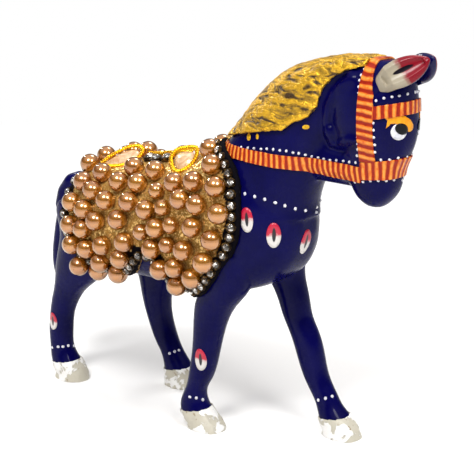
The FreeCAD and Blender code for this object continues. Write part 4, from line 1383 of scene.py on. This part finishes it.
def topOfCord(node):
    # The top of the glued cord, from one end to the other
    low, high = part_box(node)
    points = []
    for index in range(cordLine["points"]):
        x = low.x + (high.x - low.x) * index / (cordLine["points"] - 1)
        near = [vertex.co for vertex in nodes[node].data.vertices
                if abs(vertex.co.x - x) < cordLine["reach"] * mm]
        if near:
            points.append(Vector((x, 0, max(point.z for point in near))))
    return points


for end in ("rear", "front"):
    normal, points = flatTop(nodes[end + "_brooch_rim"])
    makeTwist(end + "_brooch_twisted_wire", rimTwist, points, normal, True, [end + "_brooch_rim"])
cordFacing = Vector(cordLine["facing"]).normalized()
makeTwist("spine_cord_twist", cordTwist, topOfCord("spine_cord"), cordFacing, False)
print("twisted wire made")


# What stays as it was built gets its finish
finishes = {
    pearlLustre: ["rear_pearls_right", "rear_pearls_left", "front_pearls_right", "front_pearls_left",
                  "spine_pearls_left"],
    rhinestone: ["edge_stones_right", "edge_stones_left", "spine_stones"],
    tarnishedCup: ["edge_cups_right", "edge_cups_left", "spine_cups"],
    goldWire: ["spine_cord", "gold_sprigs"],
    paleStone: ["rear_cabochon", "front_cabochon"],
    bareWood: ["neck_dowel", "leg_dowels", "tail_peg"],
}
for material, names in finishes.items():
    for name in names:
        paintWith(nodes[name], material)
print("finishes given")


# Stage and light, in metres: a white floor, a soft room and four round lamps aimed at the horse
stageValues = {
    "floorSize": 8.0,
    "floorColour": "#f4f3f1",
    "clearFrom": 0.12,
    "clearTo": 0.5,
    "horizon": "#ffffff",
    "walls": "#5c5a58",
    "ceiling": "#f4f4f6",
    "lampAim": (0, 0, 0.05),
}
lamps = {
    "key": {"azimuth": 10.0, "elevation": 55.0, "distance": 0.75, "size": 0.26, "power": 3.8},
    "side": {"azimuth": 75.0, "elevation": 48.0, "distance": 0.8, "size": 0.28, "power": 2.7},
    "glint": {"azimuth": 256.0, "elevation": 28.0, "distance": 0.7, "size": 0.06, "power": 0.9},
    "back": {"azimuth": 200.0, "elevation": 55.0, "distance": 0.9, "size": 0.30, "power": 2.0},
}


def makeFloorPaint():
    # Matt white board. Away from the horse it shows as plain white, and near it it keeps the shadow.
    material, coords = newMaterial("plain_pale_floor")
    distance = addNode(material, "ShaderNodeVectorMath", {0: coords}, operation="LENGTH").outputs["Value"]
    far = addNode(material, "ShaderNodeMapRange", {
        "Value": distance, "From Min": stageValues["clearFrom"], "From Max": stageValues["clearTo"]})
    path = addNode(material, "ShaderNodeLightPath")
    seen = path.outputs["Is Camera Ray"]
    for ray in ("Is Glossy Ray", "Is Transmission Ray"):
        seen = addNode(material, "ShaderNodeMath", {0: seen, 1: path.outputs[ray]}, operation="MAXIMUM")
    clear = addNode(material, "ShaderNodeMath", {0: far, 1: seen}, operation="MULTIPLY")
    board = addNode(material, "ShaderNodeBsdfDiffuse", {"Color": stageValues["floorColour"]})
    white = addNode(material, "ShaderNodeEmission", {"Color": "#ffffff", "Strength": 1.0})
    mixed = addNode(material, "ShaderNodeMixShader", {0: clear, 1: board, 2: white})
    addNode(material, "ShaderNodeOutputMaterial", {"Surface": mixed})
    return material


def makeWorld():
    # A soft pale room: white at the horizon, dimmer walls and a light ceiling
    world = bpy.data.worlds.new("soft_room")
    bpy.context.scene.world = world
    world.use_nodes = True
    world.node_tree.nodes.clear()
    direction = addNode(world, "ShaderNodeTexCoord").outputs["Generated"]
    height = addNode(world, "ShaderNodeSeparateXYZ", {0: direction}).outputs["Z"]
    low = addNode(world, "ShaderNodeMapRange", {"Value": height, "From Min": 0.04, "From Max": 0.2})
    walls = addNode(world, "ShaderNodeMix", {
        0: low, 6: stageValues["horizon"], 7: stageValues["walls"]}, data_type="RGBA")
    high = addNode(world, "ShaderNodeMapRange", {"Value": height, "From Min": 0.4, "From Max": 0.85})
    colour = addNode(world, "ShaderNodeMix", {0: high, 6: walls, 7: stageValues["ceiling"]}, data_type="RGBA")
    back = addNode(world, "ShaderNodeBackground", {"Color": colour, "Strength": 1.0})
    addNode(world, "ShaderNodeOutputWorld", {"Surface": back})


bpy.ops.mesh.primitive_plane_add(size=stageValues["floorSize"], location=(0, 0, 0))
floor = bpy.context.object
floor.name = "floor"
paintWith(floor, makeFloorPaint())
makeWorld()
for name, lamp in lamps.items():
    away = directionTo(lamp["azimuth"], lamp["elevation"])
    target = Vector(stageValues["lampAim"])
    bpy.ops.object.light_add(type="AREA", location=target + away * lamp["distance"])
    light = bpy.context.object
    light.name = name + "_lamp"
    light.data.shape = "DISK"
    light.data.size = lamp["size"]
    light.data.energy = lamp["power"]
    light.rotation_euler = (-away).to_track_quat("-Z", "Y").to_euler()
bpy.context.scene.view_settings.view_transform = "Standard"
print("stage and light set")
